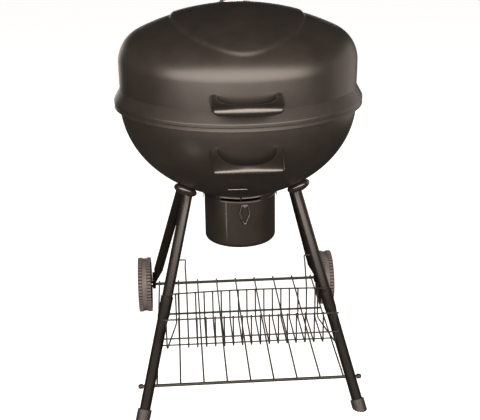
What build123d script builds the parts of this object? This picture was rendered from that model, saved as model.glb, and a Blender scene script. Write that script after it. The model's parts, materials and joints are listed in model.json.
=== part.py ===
from build123d import *
from math import asin, atan2, cos, degrees, hypot, pi, radians, sin, sqrt, tan
import os

# Kettle charcoal grill on a four-legged trolley.
# Millimetres, +Z up, front at -Y. The origin is on the ground under the kettle's axis.

# Driving dimensions of the kettle
RIM_RADIUS = 300.0          # outside of the rolled rims, a 57 cm kettle
SEAM_HEIGHT = 685.0         # where lid and bowl meet
SHEET = 1.0                 # enamelled steel of lid and bowl
RIM_GAP = 0.4               # the lid sits this far above the bowl's rim
BOWL_RADIUS = 286.5
BOWL_DEPTH = 234.0
BOWL_EQUATOR = SEAM_HEIGHT - 4.0
LID_RADIUS = 286.4
LID_TOP = 905.0             # top of the plain dome, under the raised panel
CROWN_RADIUS = 560.0
SHOULDER_RADIUS = 80.0
WALL_BULGE = 1647.0         # the lid's wall is a very slight barrel
LID_WALL_FOOT = SEAM_HEIGHT + 34.0
LID_FLARE = 29.0            # how far the flare under the lid's wall leans up, in degrees
RIM_ROLL = 4.5
PANEL_RISE = 5.0            # raised oval on the crown
PANEL_HALF_WIDTH = 157.0
PANEL_HALF_LENGTH = 262.0

# Lid vent and its turning damper, on the rear of the crown
VENT_BACK = 120.0
VENT_HOLE = 18.0
VENT_PITCH_RADIUS = 24.0
VENT_COUNT = 4
DAMPER_RADIUS = 42.0
DAMPER_SHEET = 1.5
DAMPER_GAP = 0.4
TAB_WIDTH = 23.0
TAB_HEIGHT = 11.0
TAB_ANGLE = 225.0
RIVET_SHANK = 3.0

# Handles, the same moulding idea at two sizes
LID_HANDLE_HEIGHT = SEAM_HEIGHT + 62.0
LID_HANDLE_TILT = 10.0
LID_HANDLE_THICK = 20.0
BOWL_HANDLE_HEIGHT = SEAM_HEIGHT - 61.0
BOWL_HANDLE_TILT = 24.0
BOWL_HANDLE_THICK = 16.0
HANDLE_HALF_WIDTH = 78.0
HANDLE_REACH = 62.0
HANDLE_BAR = 13.0
HANDLE_BOW = 2.0            # the bar's front edge is this much fuller in the middle
HANDLE_CORNER = 14.0
HANDLE_OPENING = 63.0
HANDLE_ROOT = 31.0          # how far the blank runs back past the wall before it is cut to it
HANDLE_SCREW_X = 70.5
HANDLE_EDGE = 4.5

# Rear hinge
HINGE_Y = 318.0
HINGE_Z = SEAM_HEIGHT + 10.0
HINGE_PIN = 3.0
HINGE_KNUCKLE = 8.0
HINGE_HALF_WIDTH = 20.0
HINGE_EAR = 3.0
RUNNING_FIT = 0.06
PLAY = 0.1                  # between pieces that are fixed together

# Stand
TUBE = 12.7                 # leg tube radius, one-inch tube
TUBE_WALL = 1.2
LEG_TOP_X = 130.3
LEG_TOP_Z = 476.8
FRONT_TOP_Y = -84.8
REAR_TOP_Y = 92.0
FOOT_X = 255.8
FOOT_Y = -330.0
AXLE_Y = 266.0
WHEEL_RADIUS = 78.0
REAR_LUG_X = 235.0
LUG_THICK = 8.0
SLEEVE_Z = 252.0            # where a front leg's lower tube begins
SLEEVE_LENGTH = 46.0
SOCKET_RADIUS = 30.0
SOCKET_DROP = 10.0
SOCKET_SEAT = -3.0          # where a tube's top end stands in its socket
SOCKET_BOLT = 3.0           # bolt from inside the bowl, radius
FOOT_CAP_LENGTH = 23.0
FOOT_CAP_RADIUS = 16.5
FOOT_FLOOR = 4.0

# Wheels and axle
WHEEL_INNER_X = 243.0
WHEEL_WIDTH = 36.0
TREAD_DEPTH = 3.2
TREAD_WIDTH = 11.5
TREAD_LUGS = 52
RIM_THICK = 9.0
HUB_RADIUS = 16.0
HUB_RECESS = 9.0            # the hub ends this far inside the wheel's outer face
WHEEL_RIBS = 6
AXLE_RADIUS = 4.0
AXLE_CAP_RADIUS = 11.0

# Wire shelf
SHELF_ROD = 3.75
FRONT_ROD_Z = 67.0
SHELF_WIRE = 2.0
SHELF_WIRES = 9
SHELF_PITCH = 55.0
SHELF_BAR_Y = 67.0
SHELF_BAR = 2.75
SHELF_STAY_Y = -108.0
SHELF_STAY = 1.75
WELD = 0.4                  # how far crossing wires sink into each other

# Wire basket
HOOP_WIRE = 1.75
HOOPS = 19
HOOP_PITCH = 20.4
BASKET_FLOOR = 187.0
BASKET_FRONT = -348.2
BASKET_BACK_MIDDLE = -203.0
BASKET_BACK_ENDS = -212.7
BASKET_TOP = 262.0
BASKET_LOW_RAIL = 215.0
BASKET_HALF_WIDTH = 193.0
HANGER_HOOP = 7             # the hoop whose back rises to a hook, counted from the middle
HANGER_Z = 328.0
HOOK_DEPTH = 6.0

# Grates
COOK_GRATE_RADIUS = 274.0
COOK_GRATE_Z = 660.3
COOK_ROD_PITCH = 20.0
COAL_GRATE_RADIUS = 218.0
COAL_GRATE_Z = 545.0
COAL_ROD_PITCH = 18.0
GRATE_ROD = 2.5
GRATE_RING = 3.0
GRATE_HANDLE_BAR = 12       # which bar carries a lifting loop, counted from the middle
GRATE_HANDLE_WIDTH = 90.0
GRATE_HANDLE_RISE = 26.0

# Ash sweeper and can
CAN_RADIUS = 89.0
CAN_TOP = 445.5
CAN_FLOOR = 321.5
CAN_SHEET = 1.2
CAN_CORNER = 12.0
CAN_BEAD = 2.0
COLLAR_SLOT_TOP = 452.2     # top of the slot that the lever comes out of
VANES = 3
VANE_OPEN_INNER = 30.0
VANE_OPEN_OUTER = 76.0
VANE_OPEN_HALF_ANGLE = 22.0
VANE_HALF_ANGLE = 28.0
VANE_GAP = 0.6
SHAFT_RADIUS = 5.0
LEVER_WIRE = 1.8
LEVER_ANGLE = -2.5          # the lever points a little to the left of the front
LEVER_SWING = 30.0          # to each side
LEVER_GRIP = 44.0
LEVER_GRIP_SHIFT = -9.0     # the grip's middle stands left of the stem
RING_X = 6.0
RING_WIRE = 1.7

# Which side of the drawing plane a round bar or block stands on
ABOVE = (Align.CENTER, Align.CENTER, Align.MIN)
BELOW = (Align.CENTER, Align.CENTER, Align.MAX)

os.makedirs("parts", exist_ok=True)


# Helpers

def rod(start, end, radius):
    """A straight round rod between two points."""
    span = Vector(*end) - Vector(*start)
    bar = Cylinder(radius, span.length, align=ABOVE)
    return Plane(origin=start, z_dir=span) * bar


def bent_wire(points, radius, bend, closed=False):
    """A round wire along straight runs with rounded bends."""
    path = FilletPolyline(*points, radius=bend, close=closed)
    section = Plane(origin=path @ 0, z_dir=path % 0) * Circle(radius)
    return sweep(section, path=path)


def spin(edges):
    """Turn a closed outline drawn as (radius, height) about the kettle's axis."""
    return revolve(Plane.XZ * make_face(edges), Axis.Z)


def fuse(pieces):
    """Join touching pieces into one solid."""
    return pieces[0].fuse(*pieces[1:])


def both_sides(piece):
    """A piece and its mirror image on the other side."""
    return [piece, mirror(piece, about=Plane.YZ)]


def save(name, *solids):
    """Write one node, a single solid or a group of identical ones."""
    shape = solids[0] if len(solids) == 1 else Compound(children=list(solids))
    export_step(shape, f"parts/{name}.step")


# Kettle surfaces

def bowl_solid(grow):
    """The space inside the bowl's surface grown outwards, up to its equator."""
    arc = EllipticalCenterArc((0, BOWL_EQUATOR), BOWL_RADIUS + grow, BOWL_DEPTH + grow, 270, arc_size=90)
    top = Line((BOWL_RADIUS + grow, BOWL_EQUATOR), (0, BOWL_EQUATOR))
    axis = Line((0, BOWL_EQUATOR), (0, BOWL_EQUATOR - BOWL_DEPTH - grow))
    return spin([arc, top, axis])


def bowl_height(radius):
    """Height of the bowl's outer surface at a distance from the axis."""
    return BOWL_EQUATOR - BOWL_DEPTH * sqrt(1 - (radius / BOWL_RADIUS) ** 2)


def bowl_reach(height, grow=0.0):
    """Distance of the bowl's surface from the axis at a height."""
    drop = (BOWL_EQUATOR - height) / (BOWL_DEPTH + grow)
    return (BOWL_RADIUS + grow) * sqrt(1 - drop ** 2)


def bowl_plane(x, y):
    """A plane on the bowl's outer surface, with its z pointing straight out of the wall."""
    z = bowl_height(hypot(x, y))
    normal = (x / BOWL_RADIUS ** 2, y / BOWL_RADIUS ** 2, (z - BOWL_EQUATOR) / BOWL_DEPTH ** 2)
    return Plane(origin=(x, y, z), z_dir=normal)


CROWN_CENTRE = LID_TOP - CROWN_RADIUS
SHOULDER_R = LID_RADIUS - SHOULDER_RADIUS
SHOULDER_Z = CROWN_CENTRE + sqrt((CROWN_RADIUS - SHOULDER_RADIUS) ** 2 - SHOULDER_R ** 2)
CROWN_ANGLE = degrees(atan2(SHOULDER_Z - CROWN_CENTRE, SHOULDER_R))
WALL_CENTRE = LID_RADIUS - WALL_BULGE


def lid_wall(height, grow=0.0):
    """Distance of the lid's wall from the axis at a height on the barrel."""
    return WALL_CENTRE + sqrt((WALL_BULGE + grow) ** 2 - (SHOULDER_Z - height) ** 2)


def lid_solid(grow):
    """The space under the lid's surface grown outwards: barrel wall, shoulder and crown arcs."""
    foot = lid_wall(LID_WALL_FOOT, grow)
    wall_angle = degrees(asin((SHOULDER_Z - LID_WALL_FOOT) / (WALL_BULGE + grow)))
    wall = CenterArc((WALL_CENTRE, SHOULDER_Z), WALL_BULGE + grow, -wall_angle, wall_angle)
    shoulder = CenterArc((SHOULDER_R, SHOULDER_Z), SHOULDER_RADIUS + grow, 0, CROWN_ANGLE)
    crown = CenterArc((0, CROWN_CENTRE), CROWN_RADIUS + grow, CROWN_ANGLE, 90 - CROWN_ANGLE)
    axis = Line((0, LID_TOP + grow), (0, LID_WALL_FOOT))
    base = Line((0, LID_WALL_FOOT), (foot, LID_WALL_FOOT))
    return spin([wall, shoulder, crown, axis, base])


def panel_prism(inset):
    """Upright oval column that bounds the raised panel on the crown."""
    oval = Ellipse(PANEL_HALF_WIDTH - inset, PANEL_HALF_LENGTH - inset)
    return extrude(Pos(0, 0, SHOULDER_Z) * oval, LID_TOP - SHOULDER_Z + 3 * PANEL_RISE)


BOWL_CLEAR = bowl_solid(PLAY)
VENT_TILT = degrees(asin(VENT_BACK / (CROWN_RADIUS + PANEL_RISE)))
VENT_AXIS = Plane(origin=(0, 0, CROWN_CENTRE), x_dir=(1, 0, 0),
                  z_dir=(0, sin(radians(VENT_TILT)), cos(radians(VENT_TILT))))
PANEL_SPHERE = CROWN_RADIUS + PANEL_RISE


# Fasteners

def dome_screw(plane, grip, reach, shank=2.5, head=5.0):
    """Screw whose low domed head bears on the inside of a wall and whose shank goes outwards."""
    underside = -grip - PLAY
    dome = Pos(0, 0, underside) * Cylinder(head, 2.4, align=BELOW)
    dome = fillet(dome.edges().group_by(Axis.Z)[0], 1.6)
    stem = Pos(0, 0, underside) * Cylinder(shank, reach - underside,
                                           align=ABOVE)
    return plane * (dome + stem)


def rivet(plane, grip, stack, shank=2.0, head=4.5):
    """Rivet with a domed head outside a stack of sheets and a flat tail inside the wall."""
    dome = Pos(0, 0, stack + PLAY) * Cylinder(head, 2.2, align=ABOVE)
    dome = fillet(dome.edges().group_by(Axis.Z)[-1], 1.4)
    tail = Pos(0, 0, -grip) * Cylinder(head - 0.5, 1.4, align=BELOW)
    stem = Pos(0, 0, -grip) * Cylinder(shank, grip + stack + PLAY,
                                       align=ABOVE)
    return plane * (dome + tail + stem)


def drill(plane, radius, depth=30.0):
    """A hole's cutter, centred on the plane along its z."""
    return plane * Cylinder(radius, 2 * depth)


# Handles

def handle_plane(wall, height, tilt):
    """Plane of a front handle, leaning down and away from the wall."""
    lean = radians(tilt)
    return Plane(origin=(0, -wall, height), x_dir=(1, 0, 0), z_dir=(0, sin(lean), -cos(lean)))


def handle_blank(plane, thick):
    """D-shaped moulded loop: a slim bar between two arms, with tight corners and rounded edges."""
    half = HANDLE_HALF_WIDTH
    side = HANDLE_REACH - HANDLE_CORNER
    flat = half - HANDLE_CORNER
    outline = [
        Line((-half, -HANDLE_ROOT), (-half, side)),
        RadiusArc((-half, side), (-flat, HANDLE_REACH), HANDLE_CORNER),
        ThreePointArc((-flat, HANDLE_REACH), (0, HANDLE_REACH + HANDLE_BOW), (flat, HANDLE_REACH)),
        RadiusArc((flat, HANDLE_REACH), (half, side), HANDLE_CORNER),
        Line((half, side), (half, -HANDLE_ROOT)),
        Line((half, -HANDLE_ROOT), (-half, -HANDLE_ROOT)),
    ]
    loop = make_face(outline) - Ellipse(HANDLE_OPENING, HANDLE_REACH - HANDLE_BAR)
    loop -= Pos(0, -HANDLE_ROOT / 2) * Rectangle(2 * HANDLE_OPENING, HANDLE_ROOT)
    solid = extrude(loop, thick / 2, both=True)
    rounded = [edge for edge in solid.edges()
               if edge.center().Y > 1 - HANDLE_ROOT and abs(edge.center().Z) > thick / 4]
    return plane * fillet(rounded, HANDLE_EDGE)


def handle_screw_planes(wall_of_height, height, tilt_of_wall):
    """Where a handle's two screws pass through the wall, pointing outwards."""
    planes = []
    for x in (-HANDLE_SCREW_X, HANDLE_SCREW_X):
        reach = wall_of_height(height)
        y = -sqrt(reach ** 2 - x ** 2)
        down = -sin(radians(tilt_of_wall))
        level = cos(radians(tilt_of_wall))
        planes.append(Plane(origin=(x, y, height),
                            z_dir=(level * x / reach, level * y / reach, down)))
    return planes


LID_SCREW_Z = LID_HANDLE_HEIGHT + 2
LID_SCREW_TILT = degrees(asin((SHOULDER_Z - LID_SCREW_Z) / WALL_BULGE))
LID_SCREW_PLANES = handle_screw_planes(lid_wall, LID_SCREW_Z, LID_SCREW_TILT)
BOWL_SCREW_Z = BOWL_HANDLE_HEIGHT + 3
BOWL_SCREW_TILT = degrees(atan2((BOWL_EQUATOR - BOWL_SCREW_Z) / BOWL_DEPTH ** 2,
                                bowl_reach(BOWL_SCREW_Z) / BOWL_RADIUS ** 2))
BOWL_SCREW_PLANES = handle_screw_planes(bowl_reach, BOWL_SCREW_Z, BOWL_SCREW_TILT)
HINGE_RIVET_X = 12.0
HINGE_PLATE = 3.5
BOWL_RIVET_Z = SEAM_HEIGHT - 38.0
LID_RIVET_Z = SEAM_HEIGHT + 45.0
BOWL_RIVET_PLANES = [Plane(origin=(x, bowl_reach(BOWL_RIVET_Z), BOWL_RIVET_Z), z_dir=(0, 1, 0))
                     for x in (-HINGE_RIVET_X, HINGE_RIVET_X)]
LID_RIVET_PLANES = [Plane(origin=(x, lid_wall(LID_RIVET_Z), LID_RIVET_Z), z_dir=(0, 1, 0))
                    for x in (-HINGE_RIVET_X, HINGE_RIVET_X)]


# Legs

def leg_axes():
    """Top point and lower end of the right front and right rear legs."""
    front = (Vector(LEG_TOP_X, FRONT_TOP_Y, LEG_TOP_Z), Vector(FOOT_X, FOOT_Y, 0))
    rear = (Vector(LEG_TOP_X, REAR_TOP_Y, LEG_TOP_Z), Vector(REAR_LUG_X, AXLE_Y, WHEEL_RADIUS))
    return front, rear


FRONT_LEG, REAR_LEG = leg_axes()


def leg_plane(leg):
    """Plane at a leg's top with its z running down the leg."""
    return Plane(origin=leg[0], z_dir=leg[1] - leg[0])


def along(leg, height):
    """Distance down a leg at which it reaches a height."""
    share = (leg[0].Z - height) / (leg[0].Z - leg[1].Z)
    return share * (leg[1] - leg[0]).length


def point_on(leg, height):
    """The point of a leg's axis at a height."""
    share = (leg[0].Z - height) / (leg[0].Z - leg[1].Z)
    return leg[0] + (leg[1] - leg[0]) * share


def leg_socket(leg):
    """Rounded cup between the bowl and a leg's top, cut to the bowl's curve."""
    rise = 40.0
    lip = TUBE + 3.0
    edges = [
        Line((0, -rise), (SOCKET_RADIUS, -rise)),
        Line((SOCKET_RADIUS, -rise), (SOCKET_RADIUS, 0)),
        EllipticalCenterArc((lip, 0), SOCKET_RADIUS - lip, SOCKET_DROP, 0, arc_size=90),
        Line((lip, SOCKET_DROP), (0, SOCKET_DROP)),
        Line((0, SOCKET_DROP), (0, -rise)),
    ]
    cup = revolve(Plane.XZ * make_face(edges), Axis.Z)
    bore = Pos(0, 0, SOCKET_SEAT) * Cylinder(TUBE + PLAY, 60, align=ABOVE)
    bolt_hole = drill(socket_bolt_plane(leg), SOCKET_BOLT + PLAY)
    return leg_plane(leg) * (cup - bore) - BOWL_CLEAR - bolt_hole


def socket_bolt_plane(leg):
    """Where a leg's bolt passes through the bowl."""
    return bowl_plane(leg[0].X, leg[0].Y)


def tube(leg, start, end, radius=TUBE):
    """Hollow straight tube along a leg between two distances from its top."""
    length = end - start
    ring = Circle(radius) - Circle(radius - TUBE_WALL)
    return leg_plane(leg) * Pos(0, 0, start) * extrude(ring, length)


def front_upper_leg():
    """Upper front tube, which ends inside the lower tube's swaged mouth."""
    end = along(FRONT_LEG, SLEEVE_Z) + SLEEVE_LENGTH - 8
    pipe = tube(FRONT_LEG, SOCKET_SEAT + PLAY, end)
    hook = point_on(FRONT_LEG, HANGER_Z)
    hole = rod((hook.X - 2 * TUBE, hook.Y, hook.Z), (hook.X, hook.Y, hook.Z), HOOP_WIRE + RUNNING_FIT)
    screw_hole = drill(SLEEVE_SCREW_PLANE, 2.0 + PLAY, TUBE - 2)
    return pipe - hole - screw_hole


def front_lower_leg():
    """Lower front tube with a swaged mouth, drilled for the shelf's front rod."""
    mouth = along(FRONT_LEG, SLEEVE_Z)
    end = along(FRONT_LEG, FOOT_FLOOR + PLAY)
    wide = TUBE + TUBE_WALL + PLAY + 0.3
    neck = mouth + SLEEVE_LENGTH
    taper = 10.0
    lip = 1.2
    edges = [
        Polyline((wide + lip, mouth), (wide, mouth + 5), (wide, neck), (TUBE, neck + taper),
                 (TUBE, end + 30)),
        Line((TUBE, end + 30), (TUBE - TUBE_WALL, end + 30)),
        Polyline((TUBE - TUBE_WALL, end + 30), (TUBE - TUBE_WALL, neck + taper), (wide - TUBE_WALL, neck),
                 (wide - TUBE_WALL, mouth + 5), (wide + lip - TUBE_WALL, mouth)),
        Line((wide + lip - TUBE_WALL, mouth), (wide + lip, mouth)),
    ]
    pipe = leg_plane(FRONT_LEG) * revolve(Plane.XZ * make_face(edges), Axis.Z)
    below = Pos(FOOT_X, FOOT_Y, FOOT_FLOOR + PLAY) * Box(200, 200, 100, align=BELOW)
    at_rod = point_on(FRONT_LEG, FRONT_ROD_Z)
    hole = rod((at_rod.X - 40, at_rod.Y, at_rod.Z), (at_rod.X + 40, at_rod.Y, at_rod.Z), SHELF_ROD + PLAY)
    screw_hole = drill(SLEEVE_SCREW_PLANE, 2.0 + PLAY, TUBE - 2)
    return pipe - below - hole - screw_hole


def sleeve_screw_plane():
    """Where the screw that holds a front leg's two tubes together goes in, from behind."""
    leg = FRONT_LEG
    down = (leg[1] - leg[0]).normalized()
    at = leg[0] + down * (along(leg, SLEEVE_Z) + SLEEVE_LENGTH / 2)
    out = Vector(0, 1, 0) - down * down.Y
    out = out.normalized()
    return Plane(origin=at + out * (TUBE + TUBE_WALL + 0.4), z_dir=out)


SLEEVE_SCREW_PLANE = sleeve_screw_plane()


def sleeve_screw():
    """Short pan-head screw through both tubes of a front leg."""
    head = Pos(0, 0, PLAY) * Cylinder(4.2, 2.4, align=ABOVE)
    head = fillet(head.edges().group_by(Axis.Z)[-1], 1.4)
    stem = Cylinder(2.0, 7, align=BELOW) + Cylinder(2.0, 2 * PLAY)
    return SLEEVE_SCREW_PLANE * (head + stem)


def foot_cap():
    """Ribbed plastic cap on a front leg, cut flat where it stands on the ground."""
    length = along(FRONT_LEG, 0)
    top = length - FOOT_CAP_LENGTH
    cap = Pos(0, 0, top) * Cylinder(FOOT_CAP_RADIUS, 2 * FOOT_CAP_LENGTH,
                                    align=ABOVE)
    cap = fillet(cap.edges().group_by(Axis.Z)[0], 1.5)
    ribs = 16
    groove = Pos(FOOT_CAP_RADIUS, 0, top + 7) * Box(2.0, 2.4, 2 * FOOT_CAP_LENGTH,
                                                    align=ABOVE)
    grooves = [Rot(0, 0, 360 / ribs * i) * groove for i in range(ribs)]
    cap = cap.cut(*grooves)
    bore = Pos(0, 0, top - 1) * Cylinder(TUBE + PLAY, 3 * FOOT_CAP_LENGTH,
                                         align=ABOVE)
    floor = Pos(FOOT_X, FOOT_Y, 0) * Box(200, 200, 2 * FOOT_FLOOR)
    ground = Pos(FOOT_X, FOOT_Y, 0) * Box(200, 200, 200, align=BELOW)
    sleeve = leg_plane(FRONT_LEG) * cap - ground
    return sleeve - (leg_plane(FRONT_LEG) * bore - floor)


def rear_leg():
    """Rear tube whose lower end is pressed flat and drilled for the axle."""
    full = (REAR_LEG[1] - REAR_LEG[0]).length
    crimp_start = full - 62
    crimp_end = full - 24
    pipe = tube(REAR_LEG, SOCKET_SEAT + PLAY, crimp_start)
    down = REAR_LEG[1] - REAR_LEG[0]
    lower = Plane(origin=REAR_LEG[0], x_dir=(1, 0, down.X / -down.Z), z_dir=down)
    round_end = lower * Pos(0, 0, crimp_start) * Circle(TUBE)
    flat_end = lower * Pos(0, 0, crimp_end) * Ellipse(LUG_THICK / 2 + 0.6, 15.5)
    crimp = loft([round_end, flat_end])
    lug_radius = 13.5
    lean = atan2(-(AXLE_Y - REAR_TOP_Y), LEG_TOP_Z - WHEEL_RADIUS)
    axle = Plane(origin=(REAR_LUG_X, AXLE_Y, WHEEL_RADIUS), x_dir=(0, sin(lean), cos(lean)),
                 z_dir=(1, 0, 0))
    tongue = Circle(lug_radius) + Pos(18, 0) * Rectangle(36, 2 * lug_radius)
    lug = axle * extrude(tongue, LUG_THICK / 2, both=True)
    hole = axle * Cylinder(AXLE_RADIUS + PLAY, 4 * LUG_THICK)
    return fuse([pipe, crimp, lug]) - hole


# Kettle pieces

def bowl_shell():
    """Enamelled bowl: an ellipsoid with a rolled rim, three ash openings and the holes it needs."""
    inner = BOWL_RADIUS - SHEET
    bend = 4.0
    out = inner + bend
    edge = RIM_RADIUS - SHEET
    low = SEAM_HEIGHT - 8.5
    edges = [
        EllipticalCenterArc((0, BOWL_EQUATOR), BOWL_RADIUS, BOWL_DEPTH, 270, arc_size=90),
        CenterArc((out, BOWL_EQUATOR), bend - SHEET, 180, -90),
        Line((out, SEAM_HEIGHT - SHEET), (RIM_RADIUS - bend, SEAM_HEIGHT - SHEET)),
        CenterArc((RIM_RADIUS - bend, BOWL_EQUATOR), bend - SHEET, 90, -90),
        Polyline((edge, BOWL_EQUATOR), (edge, low), (RIM_RADIUS, low), (RIM_RADIUS, BOWL_EQUATOR)),
        CenterArc((RIM_RADIUS - bend, BOWL_EQUATOR), bend, 0, 90),
        Line((RIM_RADIUS - bend, SEAM_HEIGHT), (out, SEAM_HEIGHT)),
        CenterArc((out, BOWL_EQUATOR), bend, 90, 90),
        EllipticalCenterArc((0, BOWL_EQUATOR), inner, BOWL_DEPTH - SHEET, 270, arc_size=90),
        Line((0, BOWL_EQUATOR - BOWL_DEPTH), (0, BOWL_EQUATOR - BOWL_DEPTH + SHEET)),
    ]
    shell = spin(edges)
    cutters = [Pos(0, 0, BOWL_EQUATOR - BOWL_DEPTH) * Cylinder(SHAFT_RADIUS + RUNNING_FIT, 20)]
    opening = sector(VANE_OPEN_INNER, VANE_OPEN_OUTER, VANE_OPEN_HALF_ANGLE)
    for i in range(VANES):
        cutters.append(Rot(0, 0, 90 + 360 / VANES * i) * Pos(0, 0, BOWL_EQUATOR - BOWL_DEPTH - 5)
                       * extrude(opening, 40))
    cutters += [drill(p, 2.5 + PLAY, 8) for p in BOWL_SCREW_PLANES]
    cutters += [drill(p, 2.0 + PLAY, 8) for p in BOWL_RIVET_PLANES]
    cutters += [drill(p, SOCKET_BOLT + PLAY, 8) for p in SOCKET_BOLT_PLANES]
    return shell.cut(*cutters)


def sector(inner, outer, half_angle):
    """Flat ring sector centred on +X."""
    a = radians(half_angle)
    mid_in = (inner, 0)
    mid_out = (outer, 0)
    corners = [(r * cos(a), s * r * sin(a)) for r in (inner, outer) for s in (-1, 1)]
    return make_face([
        ThreePointArc(corners[0], mid_in, corners[1]),
        Line(corners[1], corners[3]),
        ThreePointArc(corners[3], mid_out, corners[2]),
        Line(corners[2], corners[0]),
    ])


def lid_shell():
    """Enamelled lid: barrel wall, rounded shoulder, low crown with a raised oval panel, rolled rim."""
    outer = lid_solid(0) + (lid_solid(PANEL_RISE) & panel_prism(0))
    inner = lid_solid(-SHEET) + (lid_solid(PANEL_RISE - SHEET) & panel_prism(PANEL_RISE))
    shell = fuse([outer - inner, lid_flare()])
    vent = VENT_AXIS * Pos(0, 0, PANEL_SPHERE)
    cutters = [vent * Cylinder(RIVET_SHANK + PLAY, 40)]
    for i in range(VENT_COUNT):
        cutters.append(vent * Rot(0, 0, 360 / VENT_COUNT * i) * Pos(VENT_PITCH_RADIUS, 0)
                       * Cylinder(VENT_HOLE / 2, 40))
    cutters += [drill(p, 2.5 + PLAY, 8) for p in LID_SCREW_PLANES]
    cutters += [drill(p, 2.0 + PLAY, 8) for p in LID_RIVET_PLANES]
    return shell.cut(*cutters)


def flare_nose():
    """Height of the rim roll's centre, with the flare's face a tangent of the roll from the wall's foot."""
    lean = radians(LID_FLARE)
    touch = RIM_RADIUS - RIM_ROLL + RIM_ROLL * cos(lean)
    return LID_WALL_FOOT - (touch - lid_wall(LID_WALL_FOOT)) / tan(lean) - RIM_ROLL * sin(lean)


def lid_flare():
    """Sheet skirt from the lid's wall out to its rolled rim."""
    lean = radians(LID_FLARE)
    foot = lid_wall(LID_WALL_FOOT)
    nose = (RIM_RADIUS - RIM_ROLL, flare_nose())
    edge = RIM_RADIUS - SHEET
    low = SEAM_HEIGHT + RIM_GAP
    outer = CenterArc(nose, RIM_ROLL, LID_FLARE, -LID_FLARE)
    inner = CenterArc(nose, RIM_ROLL - SHEET, 0, LID_FLARE)
    sink = SHEET * (sin(lean) - (1 - cos(lean)) / tan(lean))
    return spin([
        Line((foot, LID_WALL_FOOT), outer @ 0),
        outer,
        Polyline(outer @ 1, (RIM_RADIUS, low), (edge, low), inner @ 0),
        inner,
        Polyline(inner @ 1, (foot - SHEET, LID_WALL_FOOT - sink), (foot - SHEET, LID_WALL_FOOT),
                 (foot, LID_WALL_FOOT)),
    ])


def flare_space():
    """The space under the flare, a little larger, which the hinge keeps out of."""
    low = SEAM_HEIGHT + RIM_GAP
    edge = RIM_RADIUS + PLAY
    foot = lid_wall(LID_WALL_FOOT) + PLAY
    top = LID_WALL_FOOT + PLAY
    turn = flare_nose() + RIM_ROLL * sin(radians(LID_FLARE)) + PLAY
    return spin(Polyline((0, low), (edge, low), (edge, turn), (foot, top), (0, top), (0, low)))


def lid_handle():
    """Front handle of the lid, seated on the wall."""
    plane = handle_plane(LID_RADIUS, LID_HANDLE_HEIGHT, LID_HANDLE_TILT)
    grip = handle_blank(plane, LID_HANDLE_THICK) - lid_solid(PLAY)
    return grip.cut(*[drill(p, 2.5, 15) for p in LID_SCREW_PLANES])


def bowl_handle():
    """Front handle of the bowl, seated on the curved wall."""
    plane = handle_plane(bowl_reach(BOWL_HANDLE_HEIGHT), BOWL_HANDLE_HEIGHT, BOWL_HANDLE_TILT)
    grip = handle_blank(plane, BOWL_HANDLE_THICK) - BOWL_CLEAR
    return grip.cut(*[drill(p, 2.5, 15) for p in BOWL_SCREW_PLANES])


def hinge_bracket():
    """Fixed half of the rear hinge: a plate on the bowl with two ears that carry the pin."""
    low = BOWL_RIVET_Z - 14
    wall = bowl_reach(BOWL_RIVET_Z)
    clear = RIM_RADIUS + 3.5
    ear_outline = make_face(Polyline(
        (wall - 8, low), (wall + HINGE_PLATE, low), (HINGE_Y + 9, HINGE_Z - 12), (HINGE_Y + 9, HINGE_Z),
        (HINGE_Y - 9, HINGE_Z), (clear, HINGE_Z - 8), (clear, BOWL_RIVET_Z + 20),
        (wall + HINGE_PLATE, BOWL_RIVET_Z + 12), (wall - 8, BOWL_RIVET_Z + 12), (wall - 8, low)))
    ear_outline += Pos(HINGE_Y, HINGE_Z) * Circle(9)
    ear = Plane.YZ * extrude(ear_outline, HINGE_EAR)
    right = Pos(HINGE_HALF_WIDTH, 0, 0) * ear
    left = Pos(-HINGE_HALF_WIDTH - HINGE_EAR, 0, 0) * ear
    plate = Pos(0, wall + HINGE_PLATE, BOWL_RIVET_Z - 1) * Box(
        2 * HINGE_HALF_WIDTH + 2, 2 * HINGE_PLATE + 4, 26, align=(Align.CENTER, Align.MAX, Align.CENTER))
    bracket = fuse([plate, right, left]) - BOWL_CLEAR
    bracket -= rod((-60, HINGE_Y, HINGE_Z), (60, HINGE_Y, HINGE_Z), HINGE_PIN + 0.02)
    return bracket.cut(*[drill(p, 2.0 + PLAY, 20) for p in BOWL_RIVET_PLANES])


def hinge_leaf():
    """Moving half of the rear hinge: a strap on the lid's wall ending in a knuckle."""
    wall = lid_wall(LID_RIVET_Z)
    half = HINGE_HALF_WIDTH - 0.6
    strap = make_face(Polyline(
        (wall - 4, LID_RIVET_Z + 12), (wall + HINGE_PLATE, LID_RIVET_Z + 12),
        (wall + HINGE_PLATE, HINGE_Z + 27), (HINGE_Y + 3, HINGE_Z + 7), (HINGE_Y, HINGE_Z),
        (HINGE_Y - 6, HINGE_Z - 3), (RIM_RADIUS + 2, HINGE_Z + 2),
        (wall + 6, HINGE_Z + 8), (wall - 4, HINGE_Z + 12), (wall - 4, LID_RIVET_Z + 12)))
    strap += Pos(HINGE_Y, HINGE_Z) * Circle(HINGE_KNUCKLE)
    leaf = Plane.YZ * extrude(strap, half, both=True)
    leaf -= lid_solid(PLAY) + flare_space()
    leaf -= rod((-60, HINGE_Y, HINGE_Z), (60, HINGE_Y, HINGE_Z), HINGE_PIN + RUNNING_FIT)
    return leaf.cut(*[drill(p, 2.0 + PLAY, 20) for p in LID_RIVET_PLANES])


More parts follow.
